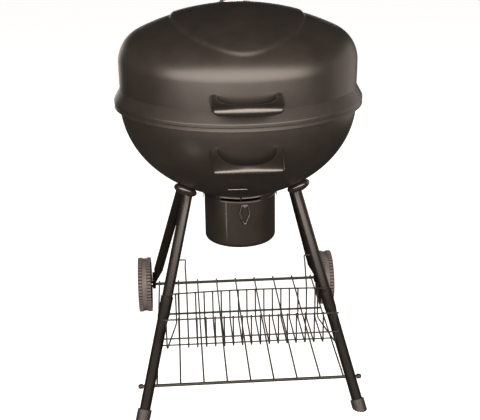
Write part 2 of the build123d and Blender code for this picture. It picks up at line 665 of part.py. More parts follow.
def hinge_pin():
    """Headed pin through both halves of the hinge."""
    end = HINGE_HALF_WIDTH + HINGE_EAR
    pin = rod((-end - 2, HINGE_Y, HINGE_Z), (end + 2, HINGE_Y, HINGE_Z), HINGE_PIN)
    head = rod((end + PLAY, HINGE_Y, HINGE_Z), (end + 3, HINGE_Y, HINGE_Z), HINGE_PIN + 2)
    tail = rod((-end - 2.5, HINGE_Y, HINGE_Z), (-end - PLAY, HINGE_Y, HINGE_Z), HINGE_PIN + 1.2)
    return fuse([pin, head, tail])


def lid_damper():
    """Domed vent disc that turns on the crown, with its bent-up finger tab."""
    inner = PANEL_SPHERE + DAMPER_GAP
    dome = Sphere(inner + DAMPER_SHEET) - Sphere(inner)
    disc = dome & (Pos(0, 0, inner) * Cylinder(DAMPER_RADIUS, 40))
    disc -= Pos(0, 0, inner) * Cylinder(RIVET_SHANK + RUNNING_FIT, 40)
    hole = Pos(VENT_PITCH_RADIUS, 0, inner) * Cylinder(VENT_HOLE / 2, 40)
    disc = disc.cut(*[Rot(0, 0, 360 / VENT_COUNT * i) * hole for i in range(VENT_COUNT)])
    seat = sqrt(inner ** 2 - DAMPER_RADIUS ** 2)
    sides = Polyline((-TAB_WIDTH * 0.42, 0), (-TAB_WIDTH / 2, TAB_HEIGHT), (TAB_WIDTH / 2, TAB_HEIGHT),
                     (TAB_WIDTH * 0.42, 0), (-TAB_WIDTH * 0.42, 0))
    tab = Rot(0, 0, TAB_ANGLE + 90) * Pos(0, -DAMPER_RADIUS + 4, seat + 0.3) * (
        Plane.XZ * extrude(make_face(sides), DAMPER_SHEET, both=True))
    return VENT_AXIS * fuse([disc, tab])


def lid_vent_rivet():
    """Rivet that the lid's damper turns on."""
    top = PANEL_SPHERE + DAMPER_GAP + DAMPER_SHEET + PLAY
    head = Pos(0, 0, top) * Cylinder(7, 3, align=ABOVE)
    head = fillet(head.edges().group_by(Axis.Z)[-1], 2)
    under = PANEL_SPHERE - SHEET - PLAY
    tail = Pos(0, 0, under) * Cylinder(5.5, 1.6, align=BELOW)
    stem = Pos(0, 0, under) * Cylinder(RIVET_SHANK, top - under, align=ABOVE)
    return VENT_AXIS * fuse([stem, head, tail])


# Inside the bowl

def grate_bracket(z, depth):
    """Small angle welded to the bowl's wall that a grate rests on."""
    wall = bowl_reach(z, -SHEET)
    shelf = Pos(wall - depth, 0, z) * Box(depth + 20, 28, 3, align=(Align.MIN, Align.CENTER, Align.MAX))
    web = Pos(wall - 5, 0, z) * Box(25, 28, 18, align=(Align.MIN, Align.CENTER, Align.MAX))
    return fuse([shelf, web]) & bowl_solid(-SHEET - 0.05)


def grate_rods(radius, z, pitch, rod_radius):
    """Parallel bars across a round grate, each as long as its chord."""
    count = int(radius // pitch)
    bars = []
    for i in range(-count, count + 1):
        half = sqrt(radius ** 2 - (i * pitch) ** 2)
        if half > 2 * pitch:
            bars.append(rod((i * pitch, -half, z), (i * pitch, half, z), rod_radius))
    return bars


def cooking_grate():
    """Round cooking grate: a ring, parallel bars and two cross bars."""
    z = COOK_GRATE_Z
    ring = Pos(0, 0, z) * Torus(COOK_GRATE_RADIUS, GRATE_RING)
    bars = grate_rods(COOK_GRATE_RADIUS, z, COOK_ROD_PITCH, GRATE_ROD)
    cross_z = z - 2 * GRATE_ROD + WELD
    cross_y = COOK_GRATE_RADIUS * 0.42
    cross_half = sqrt(COOK_GRATE_RADIUS ** 2 - cross_y ** 2) - 12
    cross = [rod((-cross_half, y, cross_z), (cross_half, y, cross_z), GRATE_ROD)
             for y in (-cross_y, cross_y)]
    return fuse([ring] + bars + cross)


def grate_handle():
    """Wire loop that stands on one of the cooking grate's outer bars, for lifting it out."""
    x = GRATE_HANDLE_BAR * COOK_ROD_PITCH
    half = GRATE_HANDLE_WIDTH / 2
    low = COOK_GRATE_Z + GRATE_ROD + 0.05
    high = COOK_GRATE_Z + GRATE_HANDLE_RISE
    route = [(x, -half, low), (x, -half, high), (x, half, high), (x, half, low)]
    return bent_wire(route, GRATE_ROD, 12)


def charcoal_grate():
    """Round charcoal grate: a ring, parallel bars and two cross bars."""
    z = COAL_GRATE_Z
    ring = Pos(0, 0, z) * Torus(COAL_GRATE_RADIUS, GRATE_RING)
    bars = grate_rods(COAL_GRATE_RADIUS, z, COAL_ROD_PITCH, GRATE_RING)
    cross_z = z - 2 * GRATE_RING + WELD
    cross_y = COAL_GRATE_RADIUS * 0.45
    cross_half = sqrt(COAL_GRATE_RADIUS ** 2 - cross_y ** 2) - 12
    cross = [rod((-cross_half, y, cross_z), (cross_half, y, cross_z), GRATE_RING)
             for y in (-cross_y, cross_y)]
    return fuse([ring] + bars + cross)


def ash_sweeper():
    """Three curved vanes on a hub that open or close the ash openings and sweep ash through them."""
    band = bowl_solid(-SHEET - VANE_GAP) - bowl_solid(-SHEET - VANE_GAP - SHEET)
    low = BOWL_EQUATOR - BOWL_DEPTH
    petal = extrude(sector(8, VANE_OPEN_OUTER + 6, VANE_HALF_ANGLE), 40)
    vanes = [band & (Rot(0, 0, 120 + 360 / VANES * i) * Pos(0, 0, low) * petal) for i in range(VANES)]
    seat = low + SHEET + VANE_GAP
    hub = Pos(0, 0, seat) * Cylinder(13, 12, align=ABOVE)
    hub = fillet(hub.edges().group_by(Axis.Z)[-1], 2)
    shaft = Pos(0, 0, low - 15) * Cylinder(SHAFT_RADIUS, 20, align=ABOVE)
    return fuse([hub, shaft] + vanes)


LEVER_EYE_Z = BOWL_EQUATOR - BOWL_DEPTH - 5.5


def sweeper_lever():
    """Wire lever that follows the underside of the bowl and ends in a cross grip."""
    z = LEVER_EYE_Z
    grip_y = -226.0
    grip_z = 522.5
    route = [(0, -7, z), (0, -50, z + 1.5), (0, -92, z + 8), (0, -150, z + 34), (0, grip_y, grip_z)]
    stem = bent_wire(route, LEVER_WIRE, 40)
    left = LEVER_GRIP_SHIFT - LEVER_GRIP / 2
    grip = rod((left, grip_y, grip_z), (left + LEVER_GRIP, grip_y, grip_z), LEVER_WIRE + 0.2)
    eye = Pos(0, 0, z) * Cylinder(10, 5)
    bore = Pos(0, 0, z) * Cylinder(SHAFT_RADIUS + 0.05, 30)
    return Rot(0, 0, LEVER_ANGLE) * (fuse([stem, grip, eye]) - bore)


def sweeper_nut():
    """Hexagon nut that holds the lever on the sweeper's shaft."""
    nut = extrude(RegularPolygon(7.5, 6), 5) - extrude(Circle(SHAFT_RADIUS + 0.05), 5)
    return Pos(0, 0, LEVER_EYE_Z - 2.5 - PLAY - 5) * nut


# Ash can

def ash_can():
    """Deep round can with a rolled bead at its mouth."""
    inner = CAN_RADIUS - CAN_SHEET
    mouth = CAN_TOP - CAN_BEAD
    wall = spin([
        Line((0, CAN_FLOOR), (CAN_RADIUS - CAN_CORNER, CAN_FLOOR)),
        CenterArc((CAN_RADIUS - CAN_CORNER, CAN_FLOOR + CAN_CORNER), CAN_CORNER, 270, 90),
        Polyline((CAN_RADIUS, CAN_FLOOR + CAN_CORNER), (CAN_RADIUS, mouth), (inner, mouth),
                 (inner, CAN_FLOOR + CAN_CORNER)),
        CenterArc((CAN_RADIUS - CAN_CORNER, CAN_FLOOR + CAN_CORNER), CAN_CORNER - CAN_SHEET, 0, -90),
        Line((CAN_RADIUS - CAN_CORNER, CAN_FLOOR + CAN_SHEET), (0, CAN_FLOOR + CAN_SHEET)),
        Line((0, CAN_FLOOR + CAN_SHEET), (0, CAN_FLOOR)),
    ])
    bead = Pos(0, 0, mouth) * Torus(CAN_RADIUS - CAN_SHEET / 2 + 0.4, CAN_BEAD)
    return fuse([wall, bead])


def can_collar():
    """Band under the bowl that meets the can's mouth, with a slot in which the lever swings."""
    low = CAN_TOP + RIM_GAP
    high = BOWL_EQUATOR - BOWL_DEPTH + 20
    ring = extrude(Circle(CAN_RADIUS) - Circle(CAN_RADIUS - CAN_SHEET), high - low)
    spare = degrees(asin(2 * LEVER_WIRE / CAN_RADIUS))
    slot = extrude(sector(CAN_RADIUS - 10, CAN_RADIUS + 10, LEVER_SWING + spare), COLLAR_SLOT_TOP - low)
    band = ring - Rot(0, 0, LEVER_ANGLE - 90) * slot
    return Pos(0, 0, low) * band - BOWL_CLEAR


RING_Z = CAN_TOP - 9.0
RING_Y = -CAN_RADIUS - 4.5


def ring_bracket():
    """Small eye on the can's front that the pull ring swings in."""
    block = Pos(RING_X, RING_Y, RING_Z) * Box(7, 9, 8)
    block = fillet(block.edges().filter_by(Axis.X), 2)
    block = Pos(RING_X, RING_Y, RING_Z) * Box(7, 12, 6) + block
    bore = rod((RING_X - 20, RING_Y, RING_Z), (RING_X + 20, RING_Y, RING_Z), RING_WIRE + RUNNING_FIT)
    return block - bore - Pos(0, 0, RING_Z) * Cylinder(CAN_RADIUS + PLAY, 60)


def pull_ring():
    """Teardrop wire ring that hangs on the can's front."""
    shape = [(-6.5, 0), (6.5, 0), (12.5, -22), (2.5, -48), (-2.5, -48), (-12.5, -22)]
    points = [(RING_X + x, RING_Y, RING_Z + z) for x, z in shape]
    return bent_wire(points, RING_WIRE, 3.0, closed=True)


def can_clip(angle):
    """Spring strap under the bowl that grips the can's bead from outside."""
    inner = CAN_RADIUS + CAN_BEAD + 0.6
    strap = Pos(inner, 0, CAN_TOP - 14) * Box(1.5, 16, 40, align=(Align.MIN, Align.CENTER, Align.MIN))
    foot_z = bowl_height(inner + 12)
    foot = Pos(inner, 0, foot_z - 3.4) * Box(16, 16, 20, align=(Align.MIN, Align.CENTER, Align.MIN))
    clip = fuse([strap, foot]) - BOWL_CLEAR
    trim = Pos(0, 0, bowl_height(inner + 16)) * Cylinder(2 * inner, 80, align=ABOVE)
    return Rot(0, 0, angle) * (clip - trim)


# Wheels

def toothed_ring(radius, lugs):
    """Outline of one tread shoulder: square lugs round a circle."""
    step = 2 * pi / lugs
    valley = radius - TREAD_DEPTH
    points = []
    for i in range(lugs):
        for share, r in ((0.0, radius), (0.55, radius), (0.6, valley), (0.95, valley)):
            turn = (i + share) * step
            points.append((r * cos(turn), r * sin(turn)))
    return make_face(Polyline(*points, close=True))


def wheel():
    """Moulded wheel: lugged tread, dished web with ribs, and a hub bored for the axle."""
    core = WHEEL_RADIUS - TREAD_DEPTH
    well = core - RIM_THICK
    width = WHEEL_WIDTH
    shoulder = extrude(toothed_ring(WHEEL_RADIUS, TREAD_LUGS) - Circle(well), TREAD_WIDTH)
    far_shoulder = Pos(0, 0, width - TREAD_WIDTH) * Rot(0, 0, 180 / TREAD_LUGS) * shoulder
    band = Pos(0, 0, TREAD_WIDTH) * extrude(Circle(core + 0.8) - Circle(well), width - 2 * TREAD_WIDTH)
    web = Pos(0, 0, width / 2 - 2) * extrude(Circle(well + 1), 4)
    hub = Cylinder(HUB_RADIUS, width - HUB_RECESS, align=ABOVE)
    rib = Pos(HUB_RADIUS - 1, 0, width / 2) * Box(well - HUB_RADIUS + 2, 5, width * 0.62,
                                                  align=(Align.MIN, Align.CENTER, Align.CENTER))
    ribs = [Rot(0, 0, 360 / WHEEL_RIBS * i) * rib for i in range(WHEEL_RIBS)]
    body = fuse([shoulder, far_shoulder, band, web, hub] + ribs)
    body -= Cylinder(AXLE_RADIUS + RUNNING_FIT, 4 * width)
    return Plane(origin=(WHEEL_INNER_X, AXLE_Y, WHEEL_RADIUS), x_dir=(0, 0, 1), z_dir=(1, 0, 0)) * body


def axle_cap():
    """Domed push-on cap that keeps a wheel on the axle."""
    start = WHEEL_INNER_X + WHEEL_WIDTH - HUB_RECESS + 0.4
    cap = Cylinder(AXLE_CAP_RADIUS, 7, align=ABOVE)
    cap = fillet(cap.edges().group_by(Axis.Z)[-1], 4)
    cap -= Cylinder(AXLE_RADIUS + PLAY, 8, align=Align.CENTER)
    return Plane(origin=(start, AXLE_Y, WHEEL_RADIUS), x_dir=(0, 0, 1), z_dir=(1, 0, 0)) * cap


def axle_washer():
    """Washer between a rear leg's lug and the wheel's hub."""
    start = REAR_LUG_X + LUG_THICK / 2 + PLAY
    thick = WHEEL_INNER_X - start - 0.4
    ring = extrude(Circle(9.5) - Circle(AXLE_RADIUS + PLAY), thick)
    return Plane(origin=(start, AXLE_Y, WHEEL_RADIUS), x_dir=(0, 0, 1), z_dir=(1, 0, 0)) * ring


# Shelf and basket

FRONT_ROD = point_on(FRONT_LEG, FRONT_ROD_Z)
FRONT_ROD_END = FRONT_ROD.X + TUBE + 4


def shelf_nut():
    """Round acorn nut on the end of the shelf's front rod, outside a leg."""
    body = Cylinder(6.0, 5, align=ABOVE)
    dome = Pos(0, 0, 5) * Sphere(6.0)
    nut = body + dome
    nut -= Cylinder(SHELF_ROD + PLAY, 10)
    return Plane(origin=(FRONT_ROD_END - 1, FRONT_ROD.Y, FRONT_ROD_Z), z_dir=(1, 0, 0)) * nut


def shelf_line(y):
    """Height of the shelf wires' centre line at a distance from the front."""
    front_z = FRONT_ROD_Z + SHELF_ROD + SHELF_WIRE + PLAY
    rear_z = WHEEL_RADIUS + AXLE_RADIUS + SHELF_WIRE + PLAY
    return front_z + (y - FRONT_ROD.Y) / (AXLE_Y - FRONT_ROD.Y) * (rear_z - front_z)


def shelf_grid():
    """Nine long wires hooked over the axle and laid on the front rod, tied by two cross wires."""
    pieces = []
    hook_y = AXLE_Y + AXLE_RADIUS + SHELF_WIRE + 1.2
    for i in range(SHELF_WIRES):
        x = (i - (SHELF_WIRES - 1) / 2) * SHELF_PITCH
        front = FRONT_ROD.Y - 2
        route = [(x, front, shelf_line(front)), (x, hook_y, shelf_line(hook_y)),
                 (x, hook_y, WHEEL_RADIUS - 3)]
        pieces.append(bent_wire(route, SHELF_WIRE, 4.5))
    half = (SHELF_WIRES - 1) / 2 * SHELF_PITCH + 2
    for y, radius in ((SHELF_BAR_Y, SHELF_BAR), (SHELF_STAY_Y, SHELF_STAY)):
        z = shelf_line(y) - SHELF_WIRE - radius + WELD
        pieces.append(rod((-half, y, z), (half, y, z), radius))
    return fuse(pieces)


def basket_back(x):
    """Depth of the basket's back rail, which bows away from the front between the legs."""
    share = (x / BASKET_HALF_WIDTH) ** 2
    return BASKET_BACK_MIDDLE + (BASKET_BACK_ENDS - BASKET_BACK_MIDDLE) * share


def hanger_route(side):
    """A hanging hoop's way from its hook in the front leg's hole down to the basket's back."""
    pivot = point_on(FRONT_LEG, HANGER_Z)
    x = HANGER_HOOP * HOOP_PITCH
    back_y = basket_back(x) - 2 * HOOP_WIRE + WELD
    hook_end = pivot.X - TUBE - 0.5 + HOOK_DEPTH
    return [(side * hook_end, pivot.Y, HANGER_Z), (side * x, pivot.Y, HANGER_Z),
            (side * (x + 1.5), pivot.Y - 5, HANGER_Z - 16), (side * x, back_y, BASKET_TOP + 6)]


def basket_hoop(index):
    """One U-shaped wire of the basket; the end hoops lean out and the hanging ones rise to hooks."""
    last = (HOOPS - 1) // 2
    x = index * HOOP_PITCH
    side = 1 if index > 0 else -1
    back_x = x - side * 14 if abs(index) == last else x
    front_x = x + side * 8 if abs(index) == last else x
    back_y = basket_back(back_x) - 2 * HOOP_WIRE + WELD
    front_y = BASKET_FRONT + 2 * HOOP_WIRE - WELD
    route = [(back_x, back_y, BASKET_FLOOR), (front_x, front_y, BASKET_FLOOR),
             (front_x, front_y, BASKET_TOP + HOOP_WIRE)]
    if abs(index) == HANGER_HOOP:
        return bent_wire(hanger_route(side) + route, HOOP_WIRE, [3, 5, 12, 9, 9])
    return bent_wire([(back_x, back_y, BASKET_TOP + HOOP_WIRE)] + route, HOOP_WIRE, 9)


def basket():
    """Welded wire basket that hangs from the front legs."""
    last = (HOOPS - 1) // 2
    hoops = [basket_hoop(i) for i in range(-last, last + 1)]
    back_path = ThreePointArc((-BASKET_HALF_WIDTH, BASKET_BACK_ENDS, BASKET_TOP),
                              (0, BASKET_BACK_MIDDLE, BASKET_TOP),
                              (BASKET_HALF_WIDTH, BASKET_BACK_ENDS, BASKET_TOP))
    back_rail = sweep(Plane(origin=back_path @ 0, z_dir=back_path % 0) * Circle(HOOP_WIRE), path=back_path)
    half = BASKET_HALF_WIDTH + 5
    rails = [rod((-half, BASKET_FRONT, z), (half, BASKET_FRONT, z), HOOP_WIRE)
             for z in (BASKET_TOP, BASKET_LOW_RAIL)]
    return fuse(hoops + [back_rail] + rails)


# Build and write every node

SOCKET_BOLT_PLANES = [socket_bolt_plane((Vector(sx * leg[0].X, leg[0].Y, leg[0].Z), leg[1]))
                      for leg in (FRONT_LEG, REAR_LEG) for sx in (-1, 1)]


def mirrored_nodes(name, piece):
    """Write a right-hand piece and its left-hand mirror image as two nodes."""
    right, left = both_sides(piece)
    save(name.format("right"), right)
    save(name.format("left"), left)


save("lid_shell", lid_shell())
save("lid_handle", lid_handle())
save("lid_handle_screws", *[dome_screw(p, SHEET, 12) for p in LID_SCREW_PLANES])
save("lid_hinge_leaf", hinge_leaf())
save("lid_hinge_rivets", *[rivet(p, SHEET + 1.2, HINGE_PLATE) for p in LID_RIVET_PLANES])
save("lid_damper", lid_damper())
save("lid_vent_rivet", lid_vent_rivet())

save("bowl_shell", bowl_shell())
save("bowl_handle", bowl_handle())
save("bowl_handle_screws", *[dome_screw(p, SHEET, 12) for p in BOWL_SCREW_PLANES])
save("hinge_bracket", hinge_bracket())
save("hinge_bracket_rivets", *[rivet(p, SHEET + 1.2, HINGE_PLATE) for p in BOWL_RIVET_PLANES])
save("hinge_pin", hinge_pin())

QUARTERS = (45, 135, 225, 315)
COOK_SEAT = COOK_GRATE_Z - GRATE_RING - 0.3
COAL_SEAT = COAL_GRATE_Z - GRATE_RING - 0.3
save("cooking_grate_brackets", *[Rot(0, 0, a) * grate_bracket(COOK_SEAT, 16) for a in QUARTERS])
save("charcoal_grate_brackets", *[Rot(0, 0, a) * grate_bracket(COAL_SEAT, 24) for a in QUARTERS])
save("cooking_grate", cooking_grate())
save("cooking_grate_handles", *both_sides(grate_handle()))
save("charcoal_grate", charcoal_grate())
save("ash_sweeper", ash_sweeper())
save("sweeper_lever", sweeper_lever())
save("sweeper_nut", sweeper_nut())

save("ash_can", ash_can())
save("ash_can_ring_bracket", ring_bracket())
save("ash_can_pull_ring", pull_ring())
save("ash_can_collar", can_collar())
save("ash_can_clips", *[can_clip(a) for a in (0, 90, 180)])

mirrored_nodes("front_{}_leg_socket", leg_socket(FRONT_LEG))
mirrored_nodes("rear_{}_leg_socket", leg_socket(REAR_LEG))
mirrored_nodes("front_{}_upper_leg", front_upper_leg())
mirrored_nodes("front_{}_lower_leg", front_lower_leg())
mirrored_nodes("rear_{}_leg", rear_leg())
mirrored_nodes("{}_foot_cap", foot_cap())
save("leg_socket_bolts", *[dome_screw(p, SHEET, 5, SOCKET_BOLT, 7.0) for p in SOCKET_BOLT_PLANES])
save("leg_sleeve_screws", *both_sides(sleeve_screw()))

mirrored_nodes("{}_wheel", wheel())
AXLE_END = WHEEL_INNER_X + WHEEL_WIDTH - HUB_RECESS + 4
save("axle", rod((-AXLE_END, AXLE_Y, WHEEL_RADIUS), (AXLE_END, AXLE_Y, WHEEL_RADIUS), AXLE_RADIUS))
save("axle_caps", *both_sides(axle_cap()))
save("axle_washers", *both_sides(axle_washer()))

ROD_TIP = FRONT_ROD_END + 3
save("shelf_front_rod", rod((-ROD_TIP, FRONT_ROD.Y, FRONT_ROD_Z),
                            (ROD_TIP, FRONT_ROD.Y, FRONT_ROD_Z), SHELF_ROD))
save("shelf_rod_nuts", *both_sides(shelf_nut()))
save("shelf_grid", shelf_grid())
save("basket", basket())
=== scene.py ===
import bpy
import json
import math
import numpy as np
from mathutils import Matrix, Vector


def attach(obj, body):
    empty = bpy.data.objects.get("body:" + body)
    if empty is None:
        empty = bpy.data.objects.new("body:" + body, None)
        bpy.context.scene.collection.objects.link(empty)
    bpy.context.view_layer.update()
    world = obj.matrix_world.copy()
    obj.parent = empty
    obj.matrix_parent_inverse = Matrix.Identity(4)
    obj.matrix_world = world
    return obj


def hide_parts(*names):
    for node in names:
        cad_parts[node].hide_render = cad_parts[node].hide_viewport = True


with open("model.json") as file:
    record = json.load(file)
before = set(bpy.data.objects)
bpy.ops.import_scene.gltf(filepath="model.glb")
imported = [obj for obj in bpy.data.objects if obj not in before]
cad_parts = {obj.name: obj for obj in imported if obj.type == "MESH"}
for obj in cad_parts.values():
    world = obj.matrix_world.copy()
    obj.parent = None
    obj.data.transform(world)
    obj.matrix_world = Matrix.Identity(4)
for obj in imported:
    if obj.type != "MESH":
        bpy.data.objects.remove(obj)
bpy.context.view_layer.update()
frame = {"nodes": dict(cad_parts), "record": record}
NODES = frame["nodes"]

# Camera, fitted to the photograph: metres and degrees
CAMERA_AZIMUTH = -3.62
CAMERA_DISTANCE = 2.2905
CAMERA_HEIGHT = 1.2144
CAMERA_PITCH = 19.76
CAMERA_ROLL = -0.9
CAMERA_FOCAL_PX = 957.86
IMAGE_WIDTH_PX = 480.0
SENSOR_MM = 36.0


# Small builders for node trees

def add(tree, kind, **values):
    """One node of a kind, with its plain settings filled in."""
    node = tree.nodes.new(kind)
    for key, value in values.items():
        setattr(node, key, value)
    return node


def feed(tree, source, target):
    """A link from one socket to another."""
    tree.links.new(source, target)


def math_node(tree, operation, a, b, clamp=False):
    """A math node; a and b are sockets or numbers. Returns its output."""
    node = add(tree, "ShaderNodeMath", operation=operation, use_clamp=clamp)
    for index, value in enumerate((a, b)):
        if isinstance(value, (int, float)):
            node.inputs[index].default_value = value
        else:
            feed(tree, value, node.inputs[index])
    return node.outputs[0]


def mix_colour(tree, factor, a, b):
    """A colour mix; each of a and b is a socket or a colour. Returns its output."""
    node = add(tree, "ShaderNodeMix", data_type="RGBA")
    feed(tree, factor, node.inputs[0])
    for index, value in ((6, a), (7, b)):
        if isinstance(value, tuple):
            node.inputs[index].default_value = value
        else:
            feed(tree, value, node.inputs[index])
    return node.outputs[2]


def new_group(name, inputs, outputs):
    """An empty node group with named sockets."""
    tree = bpy.data.node_groups.new(name, "ShaderNodeTree")
    for label, kind, value in inputs:
        socket = tree.interface.new_socket(name=label, in_out="INPUT", socket_type=kind)
        socket.default_value = value
    for label, kind in outputs:
        tree.interface.new_socket(name=label, in_out="OUTPUT", socket_type=kind)
    entry = tree.nodes.new("NodeGroupInput")
    leave = tree.nodes.new("NodeGroupOutput")
    return tree, entry, leave


FLOAT = "NodeSocketFloat"
COLOUR = "NodeSocketColor"
NOISE_ROUGHNESS = 0.55
FINE_SCALE = 11.0           # the fast noise's scale, counted in the slow one's
SLOW_SHARE = 0.7
FAST_SHARE = 0.3
TONE_CONTRAST = 2.2
TONE_OFFSET = -0.6
MIDDLE_TONE = 0.5
GRAIN_DETAIL = 2.0
GRAIN_DISTANCE = 0.0005
DUST_SCALE = 14.0
DUST_DETAIL = 4.0
DUST_COLOUR = (0.18, 0.16, 0.14, 1)
AXLE_Y = 0.266
AXLE_Z = 0.078
WHEEL_MIDDLE = 0.261
TREAD_VALLEY = 0.0752       # from the axle to where a lug begins to rise
TREAD_RAMP = 0.002
TREAD_CENTRE = 0.0066       # half the width of the plain band in the tread's middle
TREAD_CENTRE_RAMP = 0.001


def noise(tree, vector, scale, detail=3.0):
    """Noise value over a vector socket, with a scale socket or number."""
    node = add(tree, "ShaderNodeTexNoise")
    node.inputs["Detail"].default_value = detail
    node.inputs["Roughness"].default_value = NOISE_ROUGHNESS
    feed(tree, vector, node.inputs["Vector"])
    if isinstance(scale, (int, float)):
        node.inputs["Scale"].default_value = scale
    else:
        feed(tree, scale, node.inputs["Scale"])
    return node.outputs["Fac"]


def make_mottle_group():
    """Slow cloudy change of colour and gloss: two noises added, stretched to a tone and a roughness."""
    tree, entry, leave = new_group(
        "cloudy tone",
        [("Dark", COLOUR, (0.02, 0.02, 0.02, 1)), ("Light", COLOUR, (0.05, 0.05, 0.05, 1)),
         ("Scale", FLOAT, 9.0), ("Gloss", FLOAT, 0.35), ("Gloss Change", FLOAT, 0.08)],
        [("Colour", COLOUR), ("Roughness", FLOAT)])
    place = add(tree, "ShaderNodeTexCoord").outputs["Object"]
    slow = noise(tree, place, entry.outputs["Scale"])
    fast = noise(tree, place, math_node(tree, "MULTIPLY", entry.outputs["Scale"], FINE_SCALE))
    tone = math_node(tree, "ADD", math_node(tree, "MULTIPLY", slow, SLOW_SHARE),
                     math_node(tree, "MULTIPLY", fast, FAST_SHARE))
    spread = math_node(tree, "MULTIPLY_ADD", tone, TONE_CONTRAST, True)
    spread.node.inputs[2].default_value = TONE_OFFSET
    colour = mix_colour(tree, spread, entry.outputs["Dark"], entry.outputs["Light"])
    feed(tree, colour, leave.inputs["Colour"])
    change = math_node(tree, "MULTIPLY", math_node(tree, "SUBTRACT", tone, MIDDLE_TONE),
                       entry.outputs["Gloss Change"])
    feed(tree, math_node(tree, "ADD", entry.outputs["Gloss"], change), leave.inputs["Roughness"])
    return tree


def make_skin_group():
    """Fine surface height: a tight noise for orange peel or moulding grain."""
    tree, entry, leave = new_group("fine grain", [("Scale", FLOAT, 300.0)], [("Height", FLOAT)])
    place = add(tree, "ShaderNodeTexCoord").outputs["Object"]
    feed(tree, noise(tree, place, entry.outputs["Scale"], GRAIN_DETAIL), leave.inputs["Height"])
    return tree


def make_dust_group():
    """Thin dust on faces that look up: the normal's height times a cloudy noise, kept between 0 and 1."""
    tree, entry, leave = new_group("settled dust", [("Amount", FLOAT, 0.1)], [("Mask", FLOAT)])
    coords = add(tree, "ShaderNodeTexCoord")
    split = add(tree, "ShaderNodeSeparateXYZ")
    feed(tree, coords.outputs["Normal"], split.inputs[0])
    up = math_node(tree, "MAXIMUM", split.outputs["Z"], 0.0)
    cloud = noise(tree, coords.outputs["Object"], DUST_SCALE, DUST_DETAIL)
    mask = math_node(tree, "MULTIPLY", math_node(tree, "MULTIPLY", up, cloud), entry.outputs["Amount"], True)
    feed(tree, mask, leave.inputs["Mask"])
    return tree


def make_height_group():
    """How far up a point is between two heights: 0 at the lower one, 1 at the upper one."""
    tree, entry, leave = new_group("height fade", [("Low", FLOAT, 0.0), ("High", FLOAT, 1.0)],
                                   [("Mask", FLOAT)])
    split = add(tree, "ShaderNodeSeparateXYZ")
    feed(tree, add(tree, "ShaderNodeTexCoord").outputs["Object"], split.inputs[0])
    above = math_node(tree, "SUBTRACT", split.outputs["Z"], entry.outputs["Low"])
    span = math_node(tree, "SUBTRACT", entry.outputs["High"], entry.outputs["Low"])
    feed(tree, math_node(tree, "DIVIDE", above, span, True), leave.inputs["Mask"])
    return tree


def make_valley_shade_group():
    """1 on a wheel's lugs and on the middle of its tread, 0 in the valleys between the lugs, where painted
    shade goes. The distance from the axle tells lugs from valleys, the distance from the wheel's middle finds
    the centre line."""
    tree, entry, leave = new_group("tread valley shade mask", [("Axle Y", FLOAT, AXLE_Y), ("Axle Z", FLOAT, AXLE_Z),
                                                  ("Middle", FLOAT, WHEEL_MIDDLE)], [("Mask", FLOAT)])
    split = add(tree, "ShaderNodeSeparateXYZ")
    feed(tree, add(tree, "ShaderNodeTexCoord").outputs["Object"], split.inputs[0])
    y = math_node(tree, "SUBTRACT", split.outputs["Y"], entry.outputs["Axle Y"])
    z = math_node(tree, "SUBTRACT", split.outputs["Z"], entry.outputs["Axle Z"])
    squares = math_node(tree, "ADD", math_node(tree, "MULTIPLY", y, y), math_node(tree, "MULTIPLY", z, z))
    reach = math_node(tree, "SUBTRACT", math_node(tree, "POWER", squares, 0.5), TREAD_VALLEY)
    lug = math_node(tree, "DIVIDE", reach, TREAD_RAMP, True)
    aside = math_node(tree, "ABSOLUTE", split.outputs["X"], 0.0)
    offset = math_node(tree, "ABSOLUTE", math_node(tree, "SUBTRACT", aside, entry.outputs["Middle"]), 0.0)
    centre = math_node(tree, "DIVIDE", math_node(tree, "SUBTRACT", TREAD_CENTRE, offset), TREAD_CENTRE_RAMP,
                       True)
    feed(tree, math_node(tree, "MAXIMUM", lug, centre), leave.inputs["Mask"])
    return tree


CLOUDY = make_mottle_group()
GRAIN = make_skin_group()
DUST = make_dust_group()
HEIGHT = make_height_group()
TREAD = make_valley_shade_group()


def finish_material(name, dark, light, scale, gloss, gloss_change, grain_scale, grain_depth,
                    dust=0.0, metal=0.0, coat=0.0, coat_gloss=0.1, shine=0.5):
    """A finish: cloudy tone and gloss, fine grain, and a little dust on top."""
    material = bpy.data.materials.new(name)
    material.use_nodes = True
    tree = material.node_tree
    shader = tree.nodes["Principled BSDF"]
    shader.inputs["Metallic"].default_value = metal
    shader.inputs["Specular IOR Level"].default_value = shine
    shader.inputs["Coat Weight"].default_value = coat
    shader.inputs["Coat Roughness"].default_value = coat_gloss
    tone = add(tree, "ShaderNodeGroup", node_tree=CLOUDY)
    tone.inputs["Dark"].default_value = dark
    tone.inputs["Light"].default_value = light
    tone.inputs["Scale"].default_value = scale
    tone.inputs["Gloss"].default_value = gloss
    tone.inputs["Gloss Change"].default_value = gloss_change
    powder = add(tree, "ShaderNodeGroup", node_tree=DUST)
    powder.inputs["Amount"].default_value = dust
    colour = mix_colour(tree, powder.outputs["Mask"], tone.outputs["Colour"], DUST_COLOUR)
    feed(tree, colour, shader.inputs["Base Color"])
    rough = math_node(tree, "ADD", tone.outputs["Roughness"], powder.outputs["Mask"], True)
    feed(tree, rough, shader.inputs["Roughness"])
    skin = add(tree, "ShaderNodeGroup", node_tree=GRAIN)
    skin.inputs["Scale"].default_value = grain_scale
    bump = add(tree, "ShaderNodeBump")
    bump.inputs["Strength"].default_value = grain_depth
    bump.inputs["Distance"].default_value = GRAIN_DISTANCE
    feed(tree, skin.outputs["Height"], bump.inputs["Height"])
    feed(tree, bump.outputs["Normal"], shader.inputs["Normal"])
    return material


